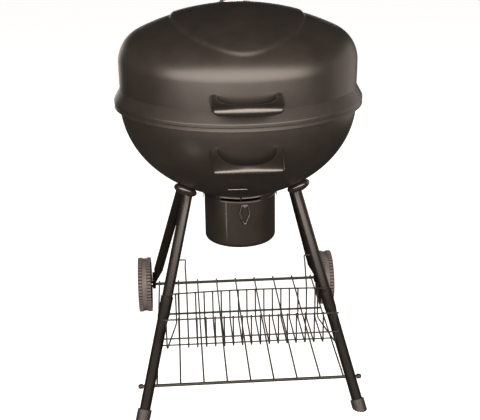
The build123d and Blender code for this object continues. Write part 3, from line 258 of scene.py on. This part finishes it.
FINISHES = {
    "enamel": finish_material(
        "satin enamel", (0.011, 0.0094, 0.0082, 1), (0.018, 0.0155, 0.0136, 1), 7.0,
        0.35, 0.10, 420.0, 0.10, dust=0.08),
    "handle_plastic": finish_material(
        "moulded handle plastic", (0.007, 0.006, 0.0055, 1), (0.013, 0.011, 0.01, 1), 30.0,
        0.32, 0.10, 900.0, 0.12, dust=0.02, shine=0.8),
    "leg_paint": finish_material(
        "gloss leg paint", (0.0055, 0.0047, 0.0042, 1), (0.01, 0.0085, 0.0076, 1), 20.0,
        0.26, 0.12, 500.0, 0.08, dust=0.01),
    "can_gloss": finish_material(
        "gloss can enamel", (0.009, 0.0076, 0.0068, 1), (0.015, 0.0127, 0.0113, 1), 16.0,
        0.38, 0.10, 420.0, 0.04, coat=0.35, coat_gloss=0.05, shine=0.22),
    "dull_steel": finish_material(
        "dull plated wire", (0.10, 0.095, 0.088, 1), (0.17, 0.162, 0.15, 1), 90.0,
        0.3, 0.15, 900.0, 0.08, metal=1.0),
    "socket_gloss": finish_material(
        "gloss socket paint", (0.01, 0.009, 0.008, 1), (0.02, 0.017, 0.015, 1), 30.0,
        0.16, 0.08, 500.0, 0.05, coat=0.4),
    "foot_plastic": finish_material(
        "foot cap plastic", (0.011, 0.0098, 0.009, 1), (0.02, 0.0178, 0.0165, 1), 60.0,
        0.5, 0.15, 800.0, 0.35, shine=0.35),
    "wheel_plastic": finish_material(
        "wheel plastic", (0.064, 0.0566, 0.0575, 1), (0.115, 0.102, 0.104, 1), 24.0,
        0.6, 0.15, 700.0, 0.35, dust=0.1, shine=0.3),
    "wire": finish_material(
        "coated wire", (0.009, 0.0092, 0.0086, 1), (0.018, 0.0184, 0.017, 1), 60.0,
        0.38, 0.15, 900.0, 0.12, shine=0.25),
    "bright_steel": finish_material(
        "zinc plated steel", (0.36, 0.35, 0.33, 1), (0.58, 0.57, 0.54, 1), 90.0,
        0.3, 0.15, 900.0, 0.08, metal=1.0),
    "grate_steel": finish_material(
        "plated grate rod", (0.3, 0.29, 0.27, 1), (0.52, 0.5, 0.47, 1), 50.0,
        0.34, 0.18, 900.0, 0.10, metal=1.0),
}


def fade_shine(material, low, high, least, most):
    """Let a finish's shine grow with height, from its least at one height to its most at another."""
    tree = material.node_tree
    fade = add(tree, "ShaderNodeGroup", node_tree=HEIGHT)
    fade.inputs["Low"].default_value = low
    fade.inputs["High"].default_value = high
    shine = math_node(tree, "ADD", math_node(tree, "MULTIPLY", fade.outputs["Mask"], most - least), least)
    feed(tree, shine, tree.nodes["Principled BSDF"].inputs["Specular IOR Level"])


def paint_valley_shade(material, dark):
    """Lay a dark colour into the valleys of a wheel's tread: painted shade in the recesses between the lugs.
    """
    tree = material.node_tree
    base = tree.nodes["Principled BSDF"].inputs["Base Color"]
    plain = base.links[0].from_socket
    mask = add(tree, "ShaderNodeGroup", node_tree=TREAD).outputs["Mask"]
    feed(tree, mix_colour(tree, mask, dark, plain), base)


fade_shine(FINISHES["leg_paint"], low=0.24, high=0.44, least=0.03, most=0.34)
# Painted shade: a dark colour laid into the wheel tread's valleys, where the recesses would fall into shade
paint_valley_shade(FINISHES["wheel_plastic"], dark=(0.011, 0.009, 0.0085, 1))
SLOT_OF = {part["node"]: part["material_slot"] for part in frame["record"]["subparts"]}


def paint(obj, finish):
    """Give an object one finish in place of what it had."""
    obj.data.materials.clear()
    obj.data.materials.append(FINISHES[finish])


for node_name, node_object in NODES.items():
    paint(node_object, SLOT_OF[node_name])
for node_name in ("ash_can", "ash_can_collar"):
    paint(NODES[node_name], "can_gloss")
for node_name in ("sweeper_lever", "ash_can_pull_ring"):
    paint(NODES[node_name], "dull_steel")
paint(NODES["shelf_rod_nuts"], "wire")


# Lid, worked out as a turned skin so that the panel's step is softly rounded. Metres.
SHEET = 0.001
RIM = 0.300
SEAM = 0.685
LID_GAP = 0.0004
LID_RADIUS = 0.2864
CROWN_RADIUS = 0.560
LID_TOP = 0.905
CROWN_CENTRE = LID_TOP - CROWN_RADIUS
SHOULDER_RADIUS = 0.080
SHOULDER_R = LID_RADIUS - SHOULDER_RADIUS
SHOULDER_Z = CROWN_CENTRE + math.sqrt((CROWN_RADIUS - SHOULDER_RADIUS) ** 2 - SHOULDER_R ** 2)
CROWN_ANGLE = math.degrees(math.atan2(SHOULDER_Z - CROWN_CENTRE, SHOULDER_R))
WALL_BULGE = 1.647
WALL_FOOT = 0.719
RIM_ROLL = 0.0045
FLARE_LEAN = 29.0
WALL_ANGLE = math.degrees(math.asin((SHOULDER_Z - WALL_FOOT) / WALL_BULGE))
PANEL_RISE = 0.005
PANEL_HALF_WIDTH = 0.157
PANEL_HALF_LENGTH = 0.262
PANEL_STEP = 0.010
LID_SEGMENTS = 360
SHEET_SHARP = 25.0          # edges sharper than this many degrees stay sharp
VENT_BACK = 0.120
VENT_PITCH = 0.024
VENT_HOLE = 0.009
VENT_COUNT = 4
VENT_CUT = 0.03
HOLE_SIDES = 32


def arc(centre, radius, start, end, count):
    """Points (radius, height) on a circle's arc from one angle to another, in degrees."""
    turn = np.radians(np.linspace(start, end, count))
    return np.stack([centre[0] + radius * np.cos(turn), centre[1] + radius * np.sin(turn)], axis=1)


def lid_wall(height):
    """The lid wall's radius at a height: an arc of large radius."""
    return LID_RADIUS - WALL_BULGE + np.sqrt(WALL_BULGE ** 2 - (SHOULDER_Z - height) ** 2)


def lid_outline():
    """The lid's section from the top of the crown down the outside, round the rim and back up inside.
    Below the wall a straight flare runs out to the rim's nose and meets it along a tangent."""
    shoulder = (SHOULDER_R, SHOULDER_Z)
    wall = (LID_RADIUS - WALL_BULGE, SHOULDER_Z)
    lean = math.radians(FLARE_LEAN)
    touch = RIM - RIM_ROLL + RIM_ROLL * math.cos(lean)
    drop = (touch - lid_wall(WALL_FOOT)) / math.tan(lean)
    nose = (RIM - RIM_ROLL, WALL_FOOT - drop - RIM_ROLL * math.sin(lean))
    low = SEAM + LID_GAP
    return np.concatenate([
        arc((0, CROWN_CENTRE), CROWN_RADIUS, 90, CROWN_ANGLE, 92)[:-1],
        arc(shoulder, SHOULDER_RADIUS, CROWN_ANGLE, 0, 44)[:-1],
        arc(wall, WALL_BULGE, 0, -WALL_ANGLE, 10),
        arc(nose, RIM_ROLL, FLARE_LEAN, 0, 7),
        np.array([(RIM, low), (RIM - SHEET, low)]),
        arc(nose, RIM_ROLL - SHEET, 0, FLARE_LEAN, 5),
        arc(wall, WALL_BULGE - SHEET, -WALL_ANGLE, 0, 6)[:-1],
        arc(shoulder, SHOULDER_RADIUS - SHEET, 0, CROWN_ANGLE, 18)[:-1],
        arc((0, CROWN_CENTRE), CROWN_RADIUS - SHEET, CROWN_ANGLE, 90, 34),
    ])


def turned_skin(outline, segments):
    """A closed skin: the outline's inner points are carried round the axis, its two ends are poles.
    Returns points and faces as arrays, quads between rings and a fan at each pole."""
    turn = np.arange(segments) * (2 * np.pi / segments)
    ring = outline[1:-1]
    x = ring[:, :1] * np.sin(turn)
    y = -ring[:, :1] * np.cos(turn)
    z = np.repeat(ring[:, 1:], segments, axis=1)
    points = np.concatenate([np.stack([x, y, z], axis=-1).reshape(-1, 3),
                             [[0, 0, outline[0, 1]], [0, 0, outline[-1, 1]]]])
    index = np.arange(len(ring) * segments).reshape(len(ring), segments)
    after = np.roll(index, -1, axis=1)
    quads = np.stack([index[:-1], index[1:], after[1:], after[:-1]], axis=-1).reshape(-1, 4)
    first, last = len(points) - 2, len(points) - 1
    top = np.stack([np.full(segments, first), index[0], after[0]], axis=1)
    bottom = np.stack([np.full(segments, last), after[-1], index[-1]], axis=1)
    return points, quads, np.concatenate([top, bottom])


def raise_panel(points):
    """Push the crown's oval panel out along the crown's radius. The push is a smooth step of the plan
    distance to the oval, counted inwards: 3t^2 - 2t^3 over the step's width."""
    x, y = points[:, 0], points[:, 1]
    oval = np.sqrt((x / PANEL_HALF_WIDTH) ** 2 + (y / PANEL_HALF_LENGTH) ** 2) + 1e-9
    slope = np.sqrt((x / PANEL_HALF_WIDTH ** 2) ** 2 + (y / PANEL_HALF_LENGTH ** 2) ** 2) / oval + 1e-9
    inside = (1 - oval) / slope
    t = np.clip(inside / PANEL_STEP + 0.5, 0, 1)
    rise = PANEL_RISE * (3 * t ** 2 - 2 * t ** 3)
    away = points - np.array([0, 0, CROWN_CENTRE])
    away /= np.linalg.norm(away, axis=1)[:, None]
    return points + away * rise[:, None]


def new_piece(name, points, faces, sharp):
    """An object from points and a list of face arrays, smooth except at sharp edges."""
    mesh = bpy.data.meshes.new(name)
    mesh.from_pydata(points.tolist(), [], [face for array in faces for face in array.tolist()])
    mesh.polygons.foreach_set("use_smooth", np.ones(len(mesh.polygons), bool))
    mesh.set_sharp_from_angle(angle=math.radians(sharp))
    obj = bpy.data.objects.new(name, mesh)
    bpy.context.scene.collection.objects.link(obj)
    return obj


def drum(segments, plane, radius, length):
    """A closed round drum about a plane's z: two rings and two capped ends."""
    turn = np.arange(segments) * (2 * np.pi / segments)
    ring = np.stack([radius * np.cos(turn), radius * np.sin(turn)], axis=1)
    low = np.concatenate([ring, np.full((segments, 1), -length / 2)], axis=1)
    high = np.concatenate([ring, np.full((segments, 1), length / 2)], axis=1)
    points = np.concatenate([low, high]) @ np.array(plane.to_3x3()).T + np.array(plane.translation)
    index = np.arange(segments)
    after = np.roll(index, -1)
    walls = np.stack([index, after, after + segments, index + segments], axis=1)
    return points, walls, [index[::-1].tolist(), (index + segments).tolist()]


def pierce(obj, cutters):
    """Cut closed shapes out of an object and keep the result as its mesh."""
    for points, walls, caps in cutters:
        mesh = bpy.data.meshes.new("cutter")
        mesh.from_pydata(points.tolist(), [], walls.tolist() + caps)
        cutter = bpy.data.objects.new("cutter", mesh)
        bpy.context.scene.collection.objects.link(cutter)
        cut = obj.modifiers.new("hole", "BOOLEAN")
        cut.operation = "DIFFERENCE"
        cut.object = cutter
        shown = obj.evaluated_get(bpy.context.evaluated_depsgraph_get())
        pierced = bpy.data.meshes.new_from_object(shown)
        obj.modifiers.clear()
        obj.data = pierced
        bpy.data.objects.remove(cutter)
    obj.data.set_sharp_from_angle(angle=math.radians(SHEET_SHARP))


def lid_skin():
    """The lid with its softly stepped panel and four vent holes in a ring."""
    points, quads, fans = turned_skin(lid_outline(), LID_SEGMENTS)
    lid = new_piece("lid_skin", raise_panel(points), [quads, fans], SHEET_SHARP)
    tilt = math.asin(VENT_BACK / (CROWN_RADIUS + PANEL_RISE))
    vent = Matrix.Translation((0, 0, CROWN_CENTRE)) @ Matrix.Rotation(-tilt, 4, "X")
    outward = Matrix.Translation((0, 0, CROWN_RADIUS + PANEL_RISE))
    cutters = []
    for number in range(VENT_COUNT):
        turn = Matrix.Rotation(number * 2 * math.pi / VENT_COUNT, 4, "Z")
        spoke = turn @ Matrix.Translation((VENT_PITCH, 0, 0))
        cutters.append(drum(HOLE_SIDES, vent @ outward @ spoke, VENT_HOLE, VENT_CUT))
    pierce(lid, cutters)
    return lid


lid = lid_skin()
paint(lid, "enamel")
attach(lid, "lid")
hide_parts("lid_shell")


# Handles: moulded loops whose section changes between the arms and the bar
BOWL_RADIUS = 0.2865
BOWL_DEPTH = 0.234
BOWL_EQUATOR = 0.681
HANDLE_ROOT_HALF = 0.0805
HANDLE_TAPER = 0.03
HANDLE_REACH = 0.063
HANDLE_OPENING = 0.064
HANDLE_OPENING_DEPTH = 0.049
HANDLE_LEAN = 0.24          # how far the outer face leans back for each step up
OPENING_POWER = 2.25
CROWN_POWER = 3.2
HULL_POWER = 1.5
BAR_PLATEAU = 6
SEAT_STEPS = 12
SEAT_GAP = 0.0003           # pieces stand this far off the sheet that they sit on
ROUND_SHARP = 60.0


def bowl_wall(height):
    """The bowl's radius at a height: half an ellipse."""
    return BOWL_RADIUS * np.sqrt(1 - ((BOWL_EQUATOR - height) / BOWL_DEPTH) ** 2)


def rounded_reach(turn, half, depth, power):
    """Distance from the middle to a rounded box's edge along a ray:
    (|cos|/half)^power + (|sin|/depth)^power is brought to one."""
    across = np.abs(np.cos(turn)) / half
    along = np.abs(np.sin(turn)) / depth
    return (across ** power + along ** power) ** (-1 / power)


def handle_skin(name, wall, height, tilt, corner, crown, keel, fall):
    """A handle as a section carried round a loop. Each ray from the middle of the wall meets the oval
    opening and the squarer outer edge; between them the section is a rounded box above and a boat's hull
    below. Crown and keel, the heights above and below, and the fall towards the outer edge change from their
    first number on the arms to their second along the bar. Above, the outer face leans back.
    The arms run straight back until every point lies on the wall."""
    rays, around, back = 181, 40, 9
    turn = np.linspace(0, np.pi, rays)[:, None]
    q = np.arange(around)[None, :] * (2 * np.pi / around)
    side, lift = np.cos(q), np.sin(q)
    power = np.where(lift > 0, 2 / CROWN_POWER, 2 / HULL_POWER)
    side = np.sign(side) * np.abs(side) ** power
    lift = np.sign(lift) * np.abs(lift) ** power
    inner = rounded_reach(turn, HANDLE_OPENING, HANDLE_OPENING_DEPTH, OPENING_POWER)
    outer = rounded_reach(turn, HANDLE_ROOT_HALF, HANDLE_REACH, corner)
    reach = (inner + outer) / 2 + side * (outer - inner) / 2
    bar = 1 - np.cos(turn) ** BAR_PLATEAU
    over = crown[0] + (crown[1] - crown[0]) * bar
    under = keel[0] + (keel[1] - keel[0]) * bar
    droop = fall[0] + (fall[1] - fall[0]) * bar
    rise = np.where(lift > 0, lift * over, lift * under)
    reach = reach - HANDLE_LEAN * np.maximum(rise, 0) * (side + 1) / 2
    rise = rise - droop * (side + 1) / 2
    v = reach * np.sin(turn)
    u = reach * np.cos(turn) * (1 - HANDLE_TAPER * v / HANDLE_REACH)
    lean = math.radians(tilt)
    reach_at_root = wall(height)
    root_v = np.zeros((2, around))
    root_u, root_rise = u[[0, -1]], rise[[0, -1]]
    for _ in range(SEAT_STEPS):
        at = height - root_v * math.sin(lean) + root_rise * math.cos(lean)
        out = np.sqrt((wall(at) + SEAT_GAP) ** 2 - root_u ** 2)
        root_v = (out - reach_at_root - root_rise * math.sin(lean)) / math.cos(lean)
    share = np.linspace(1, 0, back)[:-1, None]
    v = np.concatenate([share * root_v[:1], v, (share * root_v[1:])[::-1]])
    u = np.concatenate([np.repeat(u[:1], back - 1, 0), u, np.repeat(u[-1:], back - 1, 0)])
    rise = np.concatenate([np.repeat(rise[:1], back - 1, 0), rise, np.repeat(rise[-1:], back - 1, 0)])
    y = -reach_at_root - v * math.cos(lean) - rise * math.sin(lean)
    z = height - v * math.sin(lean) + rise * math.cos(lean)
    points = np.stack([u, y, z], axis=-1).reshape(-1, 3)
    index = np.arange(len(points)).reshape(-1, around)
    after = np.roll(index, -1, axis=1)
    quads = np.stack([index[:-1], index[1:], after[1:], after[:-1]], axis=-1).reshape(-1, 4)
    ends = np.stack([index[0], index[-1][::-1]])
    return new_piece(name, points, [quads, ends], ROUND_SHARP)


lid_grip = handle_skin("lid_grip", lid_wall, height=0.747, tilt=11.0, corner=9.0,
                       crown=(0.008, 0.0095), keel=(0.006, 0.0155), fall=(0.003, 0.006))
bowl_grip = handle_skin("bowl_grip", bowl_wall, height=0.624, tilt=22.0, corner=14.0,
                        crown=(0.008, 0.007), keel=(0.006, 0.009), fall=(0.005, 0.0085))
for grip, body, node in ((lid_grip, "lid", "lid_handle"), (bowl_grip, "stand", "bowl_handle")):
    paint(grip, "handle_plastic")
    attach(grip, body)
    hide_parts(node)


# Bowl, turned like the lid, with a rim whose outer face leans up
BOWL_RIM_LEAN = 25.0
BOWL_BEND = 0.004
BOWL_RIM_DEPTH = 0.0085
BOWL_SEGMENTS = 288
SHAFT_HOLE = 0.00506
ASH_OPEN_INNER = 0.030
ASH_OPEN_OUTER = 0.076
ASH_OPEN_HALF_ANGLE = 22.0
ASH_OPEN_HEADINGS = (90, 210, 330)
ASH_CUT_BELOW = 0.005
ASH_CUT_ABOVE = 0.035
SHAFT_CUT = 0.02


def bowl_outline():
    """The bowl's section from its floor up the inside, over the rim and down the outside: half ellipses
    joined by the rim's bends, with a straight skirt that leans."""
    turn = np.radians(np.linspace(-90, 0, 72))
    low = SEAM - BOWL_RIM_DEPTH
    lean = math.radians(BOWL_RIM_LEAN)
    inner = BOWL_RADIUS - SHEET
    out = (inner + BOWL_BEND, BOWL_EQUATOR)
    skirt = (BOWL_EQUATOR + BOWL_BEND * math.sin(lean) - low) * math.tan(lean)
    nose = (RIM - BOWL_BEND * math.cos(lean) - skirt, BOWL_EQUATOR)
    inside = np.stack([inner * np.cos(turn), BOWL_EQUATOR + (BOWL_DEPTH - SHEET) * np.sin(turn)], axis=1)
    outside = np.stack([BOWL_RADIUS * np.cos(turn), BOWL_EQUATOR + BOWL_DEPTH * np.sin(turn)], axis=1)
    return np.concatenate([
        inside[:-1],
        arc(out, BOWL_BEND, 180, 90, 9),
        arc(nose, BOWL_BEND, 90, BOWL_RIM_LEAN, 9),
        np.array([(RIM, low), (RIM - SHEET / math.cos(lean), low)]),
        arc(nose, BOWL_BEND - SHEET, BOWL_RIM_LEAN, 90, 6),
        arc(out, BOWL_BEND - SHEET, 90, 180, 6),
        outside[-2::-1],
    ])


def sector_block(heading, low, high):
    """An upright ring sector, for one ash opening: two arcs about the axis joined at their ends."""
    turn = np.radians(heading + np.linspace(-ASH_OPEN_HALF_ANGLE, ASH_OPEN_HALF_ANGLE, 13))
    ray = np.stack([np.cos(turn), np.sin(turn)], axis=1)
    outline = np.concatenate([ASH_OPEN_OUTER * ray, ASH_OPEN_INNER * ray[::-1]])
    count = len(outline)
    points = np.concatenate([np.column_stack([outline, np.full(count, level)]) for level in (low, high)])
    index = np.arange(count)
    after = np.roll(index, -1)
    walls = np.stack([index, after, after + count, index + count], axis=1)
    return points, walls, [index[::-1].tolist(), (index + count).tolist()]


def bowl_skin():
    """The bowl with three ash openings and the sweeper shaft's hole in its floor."""
    points, quads, fans = turned_skin(bowl_outline(), BOWL_SEGMENTS)
    bowl = new_piece("bowl_skin", points, [quads, fans], SHEET_SHARP)
    floor_height = BOWL_EQUATOR - BOWL_DEPTH
    cutters = [drum(HOLE_SIDES, Matrix.Translation((0, 0, floor_height)), SHAFT_HOLE, SHAFT_CUT)]
    cutters += [sector_block(heading, floor_height - ASH_CUT_BELOW, floor_height + ASH_CUT_ABOVE)
                for heading in ASH_OPEN_HEADINGS]
    pierce(bowl, cutters)
    return bowl


bowl = bowl_skin()
paint(bowl, "enamel")
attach(bowl, "stand")
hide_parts("bowl_shell")


# Leg sockets: rounded caps on the bowl
SOCKET_RADIUS = 0.029
SOCKET_WAIST = 0.007
SOCKET_SHOULDER = 0.013
SOCKET_CROWN = 0.014
SOCKET_X = 0.134
SOCKET_FRONT_Y = -0.092
SOCKET_REAR_Y = 0.096
SOCKET_BACK = 150           # how far round the section goes towards the bowl, in degrees
SOCKET_SEGMENTS = 72


def socket_skin(name, x, y):
    """A cap about the bowl's normal: an oval crown outside its widest ring, a smaller oval back to the bowl.
    Points that would lie inside the bowl are moved out along the normal onto it, by the larger root of the
    ellipsoid's equation."""
    axes = np.array([BOWL_RADIUS, BOWL_RADIUS, BOWL_DEPTH])
    middle = np.array([0, 0, BOWL_EQUATOR])
    z = BOWL_EQUATOR - BOWL_DEPTH * math.sqrt(1 - (x * x + y * y) / BOWL_RADIUS ** 2)
    foot = np.array([x, y, z])
    normal = (foot - middle) / axes ** 2
    normal /= np.linalg.norm(normal)
    east = np.cross(normal, [0, 1, 0])
    east /= np.linalg.norm(east)
    north = np.cross(normal, east)
    crown = np.radians(np.linspace(0, 90, 26))
    shoulder = np.radians(np.linspace(90, SOCKET_BACK, 14))[1:]
    radius = SOCKET_RADIUS * np.concatenate([np.sin(crown), np.sin(shoulder)])
    rise = SOCKET_WAIST + np.concatenate([SOCKET_CROWN * np.cos(crown), SOCKET_SHOULDER * np.cos(shoulder)])
    outline = np.concatenate([np.column_stack([radius, rise]), [[0, rise[-1]]]])
    local, quads, fans = turned_skin(outline, SOCKET_SEGMENTS)
    points = foot + local[:, :1] * east + local[:, 1:2] * north + local[:, 2:] * normal
    place, step = (points - middle) / axes, normal / axes
    a, b = step @ step, place @ step
    c = np.einsum("ij,ij->i", place, place) - (1 + SEAT_GAP / BOWL_RADIUS) ** 2
    out = np.where(c < 0, (np.sqrt(np.maximum(b * b - a * c, 0)) - b) / a, 0)
    cap = new_piece(name, points + out[:, None] * normal, [quads, fans], ROUND_SHARP)
    paint(cap, "socket_gloss")
    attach(cap, "stand")
    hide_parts(name.replace("_cap", "_leg_socket"))


for end, socket_y in (("front", SOCKET_FRONT_Y), ("rear", SOCKET_REAR_Y)):
    for hand, socket_x in (("left", -SOCKET_X), ("right", SOCKET_X)):
        socket_skin(f"{end}_{hand}_cap", socket_x, socket_y)


# Rolled lips above the lever's slot and at the can's mouth, each with a face that leans up. Radius, height.
COLLAR_LIP = [(0.0894, 0.4522), (0.0906, 0.4522), (0.0910, 0.4527), (0.0902, 0.4563), (0.0894, 0.4571)]
CAN_LIP = [(0.0892, 0.4413), (0.0904, 0.4413), (0.0908, 0.4418), (0.0900, 0.4449), (0.0892, 0.4455)]
LIP_SEGMENTS = 160
LIP_SHARP = 35.0


def band_skin(name, profile):
    """A closed outline of radius and height points carried round the kettle's axis."""
    turn = (np.arange(LIP_SEGMENTS) * (2 * np.pi / LIP_SEGMENTS))[:, None]
    reach, height = np.array(profile).T
    points = np.stack([reach * np.sin(turn), -reach * np.cos(turn), height + 0 * turn], axis=-1)
    index = np.arange(LIP_SEGMENTS * len(profile)).reshape(LIP_SEGMENTS, -1)
    across, after = np.roll(index, -1, axis=0), np.roll(index, -1, axis=1)
    quads = np.stack([index, across, np.roll(across, -1, axis=1), after], axis=-1).reshape(-1, 4)
    return new_piece(name, points.reshape(-1, 3), [quads], LIP_SHARP)


for lip_name, profile, body, node in (("collar_lip", COLLAR_LIP, "stand", "ash_can_collar"),
                                      ("can_lip", CAN_LIP, "ash_can", "ash_can")):
    lip = band_skin(lip_name, profile)
    paint(lip, "can_gloss")
    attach(lip, body)


# Stage: pale floor, soft lights, camera

FLOOR_HALF = 30.0
KETTLE_MIDDLE = 0.72
KETTLE = (0, 0, KETTLE_MIDDLE)
CAN_MIDDLE = (0, 0, 0.385)
WARM = (1.0, 0.88, 0.78)


def flat_sheet(name, half):
    """A flat square sheet on the ground, facing up."""
    corners = [(-half, -half, 0), (half, -half, 0), (half, half, 0), (-half, half, 0)]
    mesh = bpy.data.meshes.new(name)
    mesh.from_pydata(corners, [], [(0, 1, 2, 3)])
    obj = bpy.data.objects.new(name, mesh)
    bpy.context.scene.collection.objects.link(obj)
    return obj


floor = flat_sheet("studio_floor", FLOOR_HALF)
floor_material = bpy.data.materials.new("pale floor")
floor_material.use_nodes = True
floor_shader = floor_material.node_tree.nodes["Principled BSDF"]
floor_shader.inputs["Base Color"].default_value = (0.5, 0.5, 0.5, 1)
floor_shader.inputs["Emission Color"].default_value = (1.0, 1.0, 0.995, 1)
floor_shader.inputs["Emission Strength"].default_value = 0.93
floor_shader.inputs["Roughness"].default_value = 0.9
floor_shader.inputs["Specular IOR Level"].default_value = 0.0
floor.data.materials.append(floor_material)
floor.visible_glossy = False
floor.visible_diffuse = False

world = bpy.data.worlds.new("studio")
world.use_nodes = True
sky = world.node_tree
dim_sky = sky.nodes["Background"]
dim_sky.inputs["Color"].default_value = (1.0, 0.97, 0.94, 1)
dim_sky.inputs["Strength"].default_value = 0.04
backdrop = add(sky, "ShaderNodeBackground")
backdrop.inputs["Color"].default_value = (1, 1, 1, 1)
backdrop.inputs["Strength"].default_value = 1.0
choose = add(sky, "ShaderNodeMixShader")
feed(sky, add(sky, "ShaderNodeLightPath").outputs["Is Camera Ray"], choose.inputs[0])
feed(sky, dim_sky.outputs[0], choose.inputs[1])
feed(sky, backdrop.outputs[0], choose.inputs[2])
feed(sky, choose.outputs[0], sky.nodes["World Output"].inputs["Surface"])
bpy.context.scene.world = world


def soft_light(name, place, target, size, power, colour):
    """A rectangular soft box at a place, facing a target. The camera does not see it."""
    data = bpy.data.lights.new(name, "AREA")
    data.shape = "RECTANGLE"
    data.size, data.size_y = size
    data.energy = power
    data.color = colour
    light = bpy.data.objects.new(name, data)
    aim = Vector(target) - Vector(place)
    light.matrix_world = Matrix.Translation(Vector(place)) @ aim.to_track_quat("-Z", "Y").to_matrix().to_4x4()
    light.visible_camera = False
    bpy.context.scene.collection.objects.link(light)


def round_the_kettle(azimuth, elevation, distance):
    """A place at an angle about the kettle's middle, measured as the camera's is."""
    turn, lift = math.radians(azimuth), math.radians(elevation)
    return (distance * math.sin(turn) * math.cos(lift), -distance * math.cos(turn) * math.cos(lift),
            KETTLE_MIDDLE + distance * math.sin(lift))


soft_light("front soft box", round_the_kettle(-4, 13, 2.6), KETTLE, size=(11.5, 1.8), power=600,
           colour=(1.0, 0.86, 0.75))
soft_light("right soft box", round_the_kettle(116, -2, 2.4), KETTLE, size=(2.2, 1.5), power=9, colour=WARM)
soft_light("low fill", round_the_kettle(-35, -10, 2.6), KETTLE, size=(2.0, 0.5), power=5, colour=WARM)
soft_light("back soft box", round_the_kettle(186, -4, 2.6), KETTLE, size=(2.4, 0.8), power=14,
           colour=(1.0, 0.9, 0.8))
soft_light("low strip", (-0.585, -0.546, 0.085), CAN_MIDDLE, size=(0.04, 0.24), power=0.28, colour=WARM)


def photo_camera():
    """Camera at the photograph's place: azimuth and distance about the kettle, then pitch and roll."""
    azimuth = math.radians(CAMERA_AZIMUTH)
    pitch = math.radians(CAMERA_PITCH)
    roll = math.radians(CAMERA_ROLL)
    place = Vector((CAMERA_DISTANCE * math.sin(azimuth), -CAMERA_DISTANCE * math.cos(azimuth), CAMERA_HEIGHT))
    ahead = Vector((-math.sin(azimuth) * math.cos(pitch), math.cos(azimuth) * math.cos(pitch),
                    -math.sin(pitch)))
    level = ahead.cross(Vector((0, 0, 1))).normalized()
    upright = level.cross(ahead)
    right = math.cos(roll) * level + math.sin(roll) * upright
    up = -math.sin(roll) * level + math.cos(roll) * upright
    data = bpy.data.cameras.new("photo camera")
    data.sensor_fit = "HORIZONTAL"
    data.sensor_width = SENSOR_MM
    data.lens = CAMERA_FOCAL_PX / IMAGE_WIDTH_PX * SENSOR_MM
    camera = bpy.data.objects.new("photo camera", data)
    turn = Matrix((right, up, -ahead)).transposed().to_4x4()
    camera.matrix_world = Matrix.Translation(place) @ turn
    bpy.context.scene.collection.objects.link(camera)
    bpy.context.scene.camera = camera


photo_camera()
bpy.context.scene.view_settings.view_transform = "Standard"
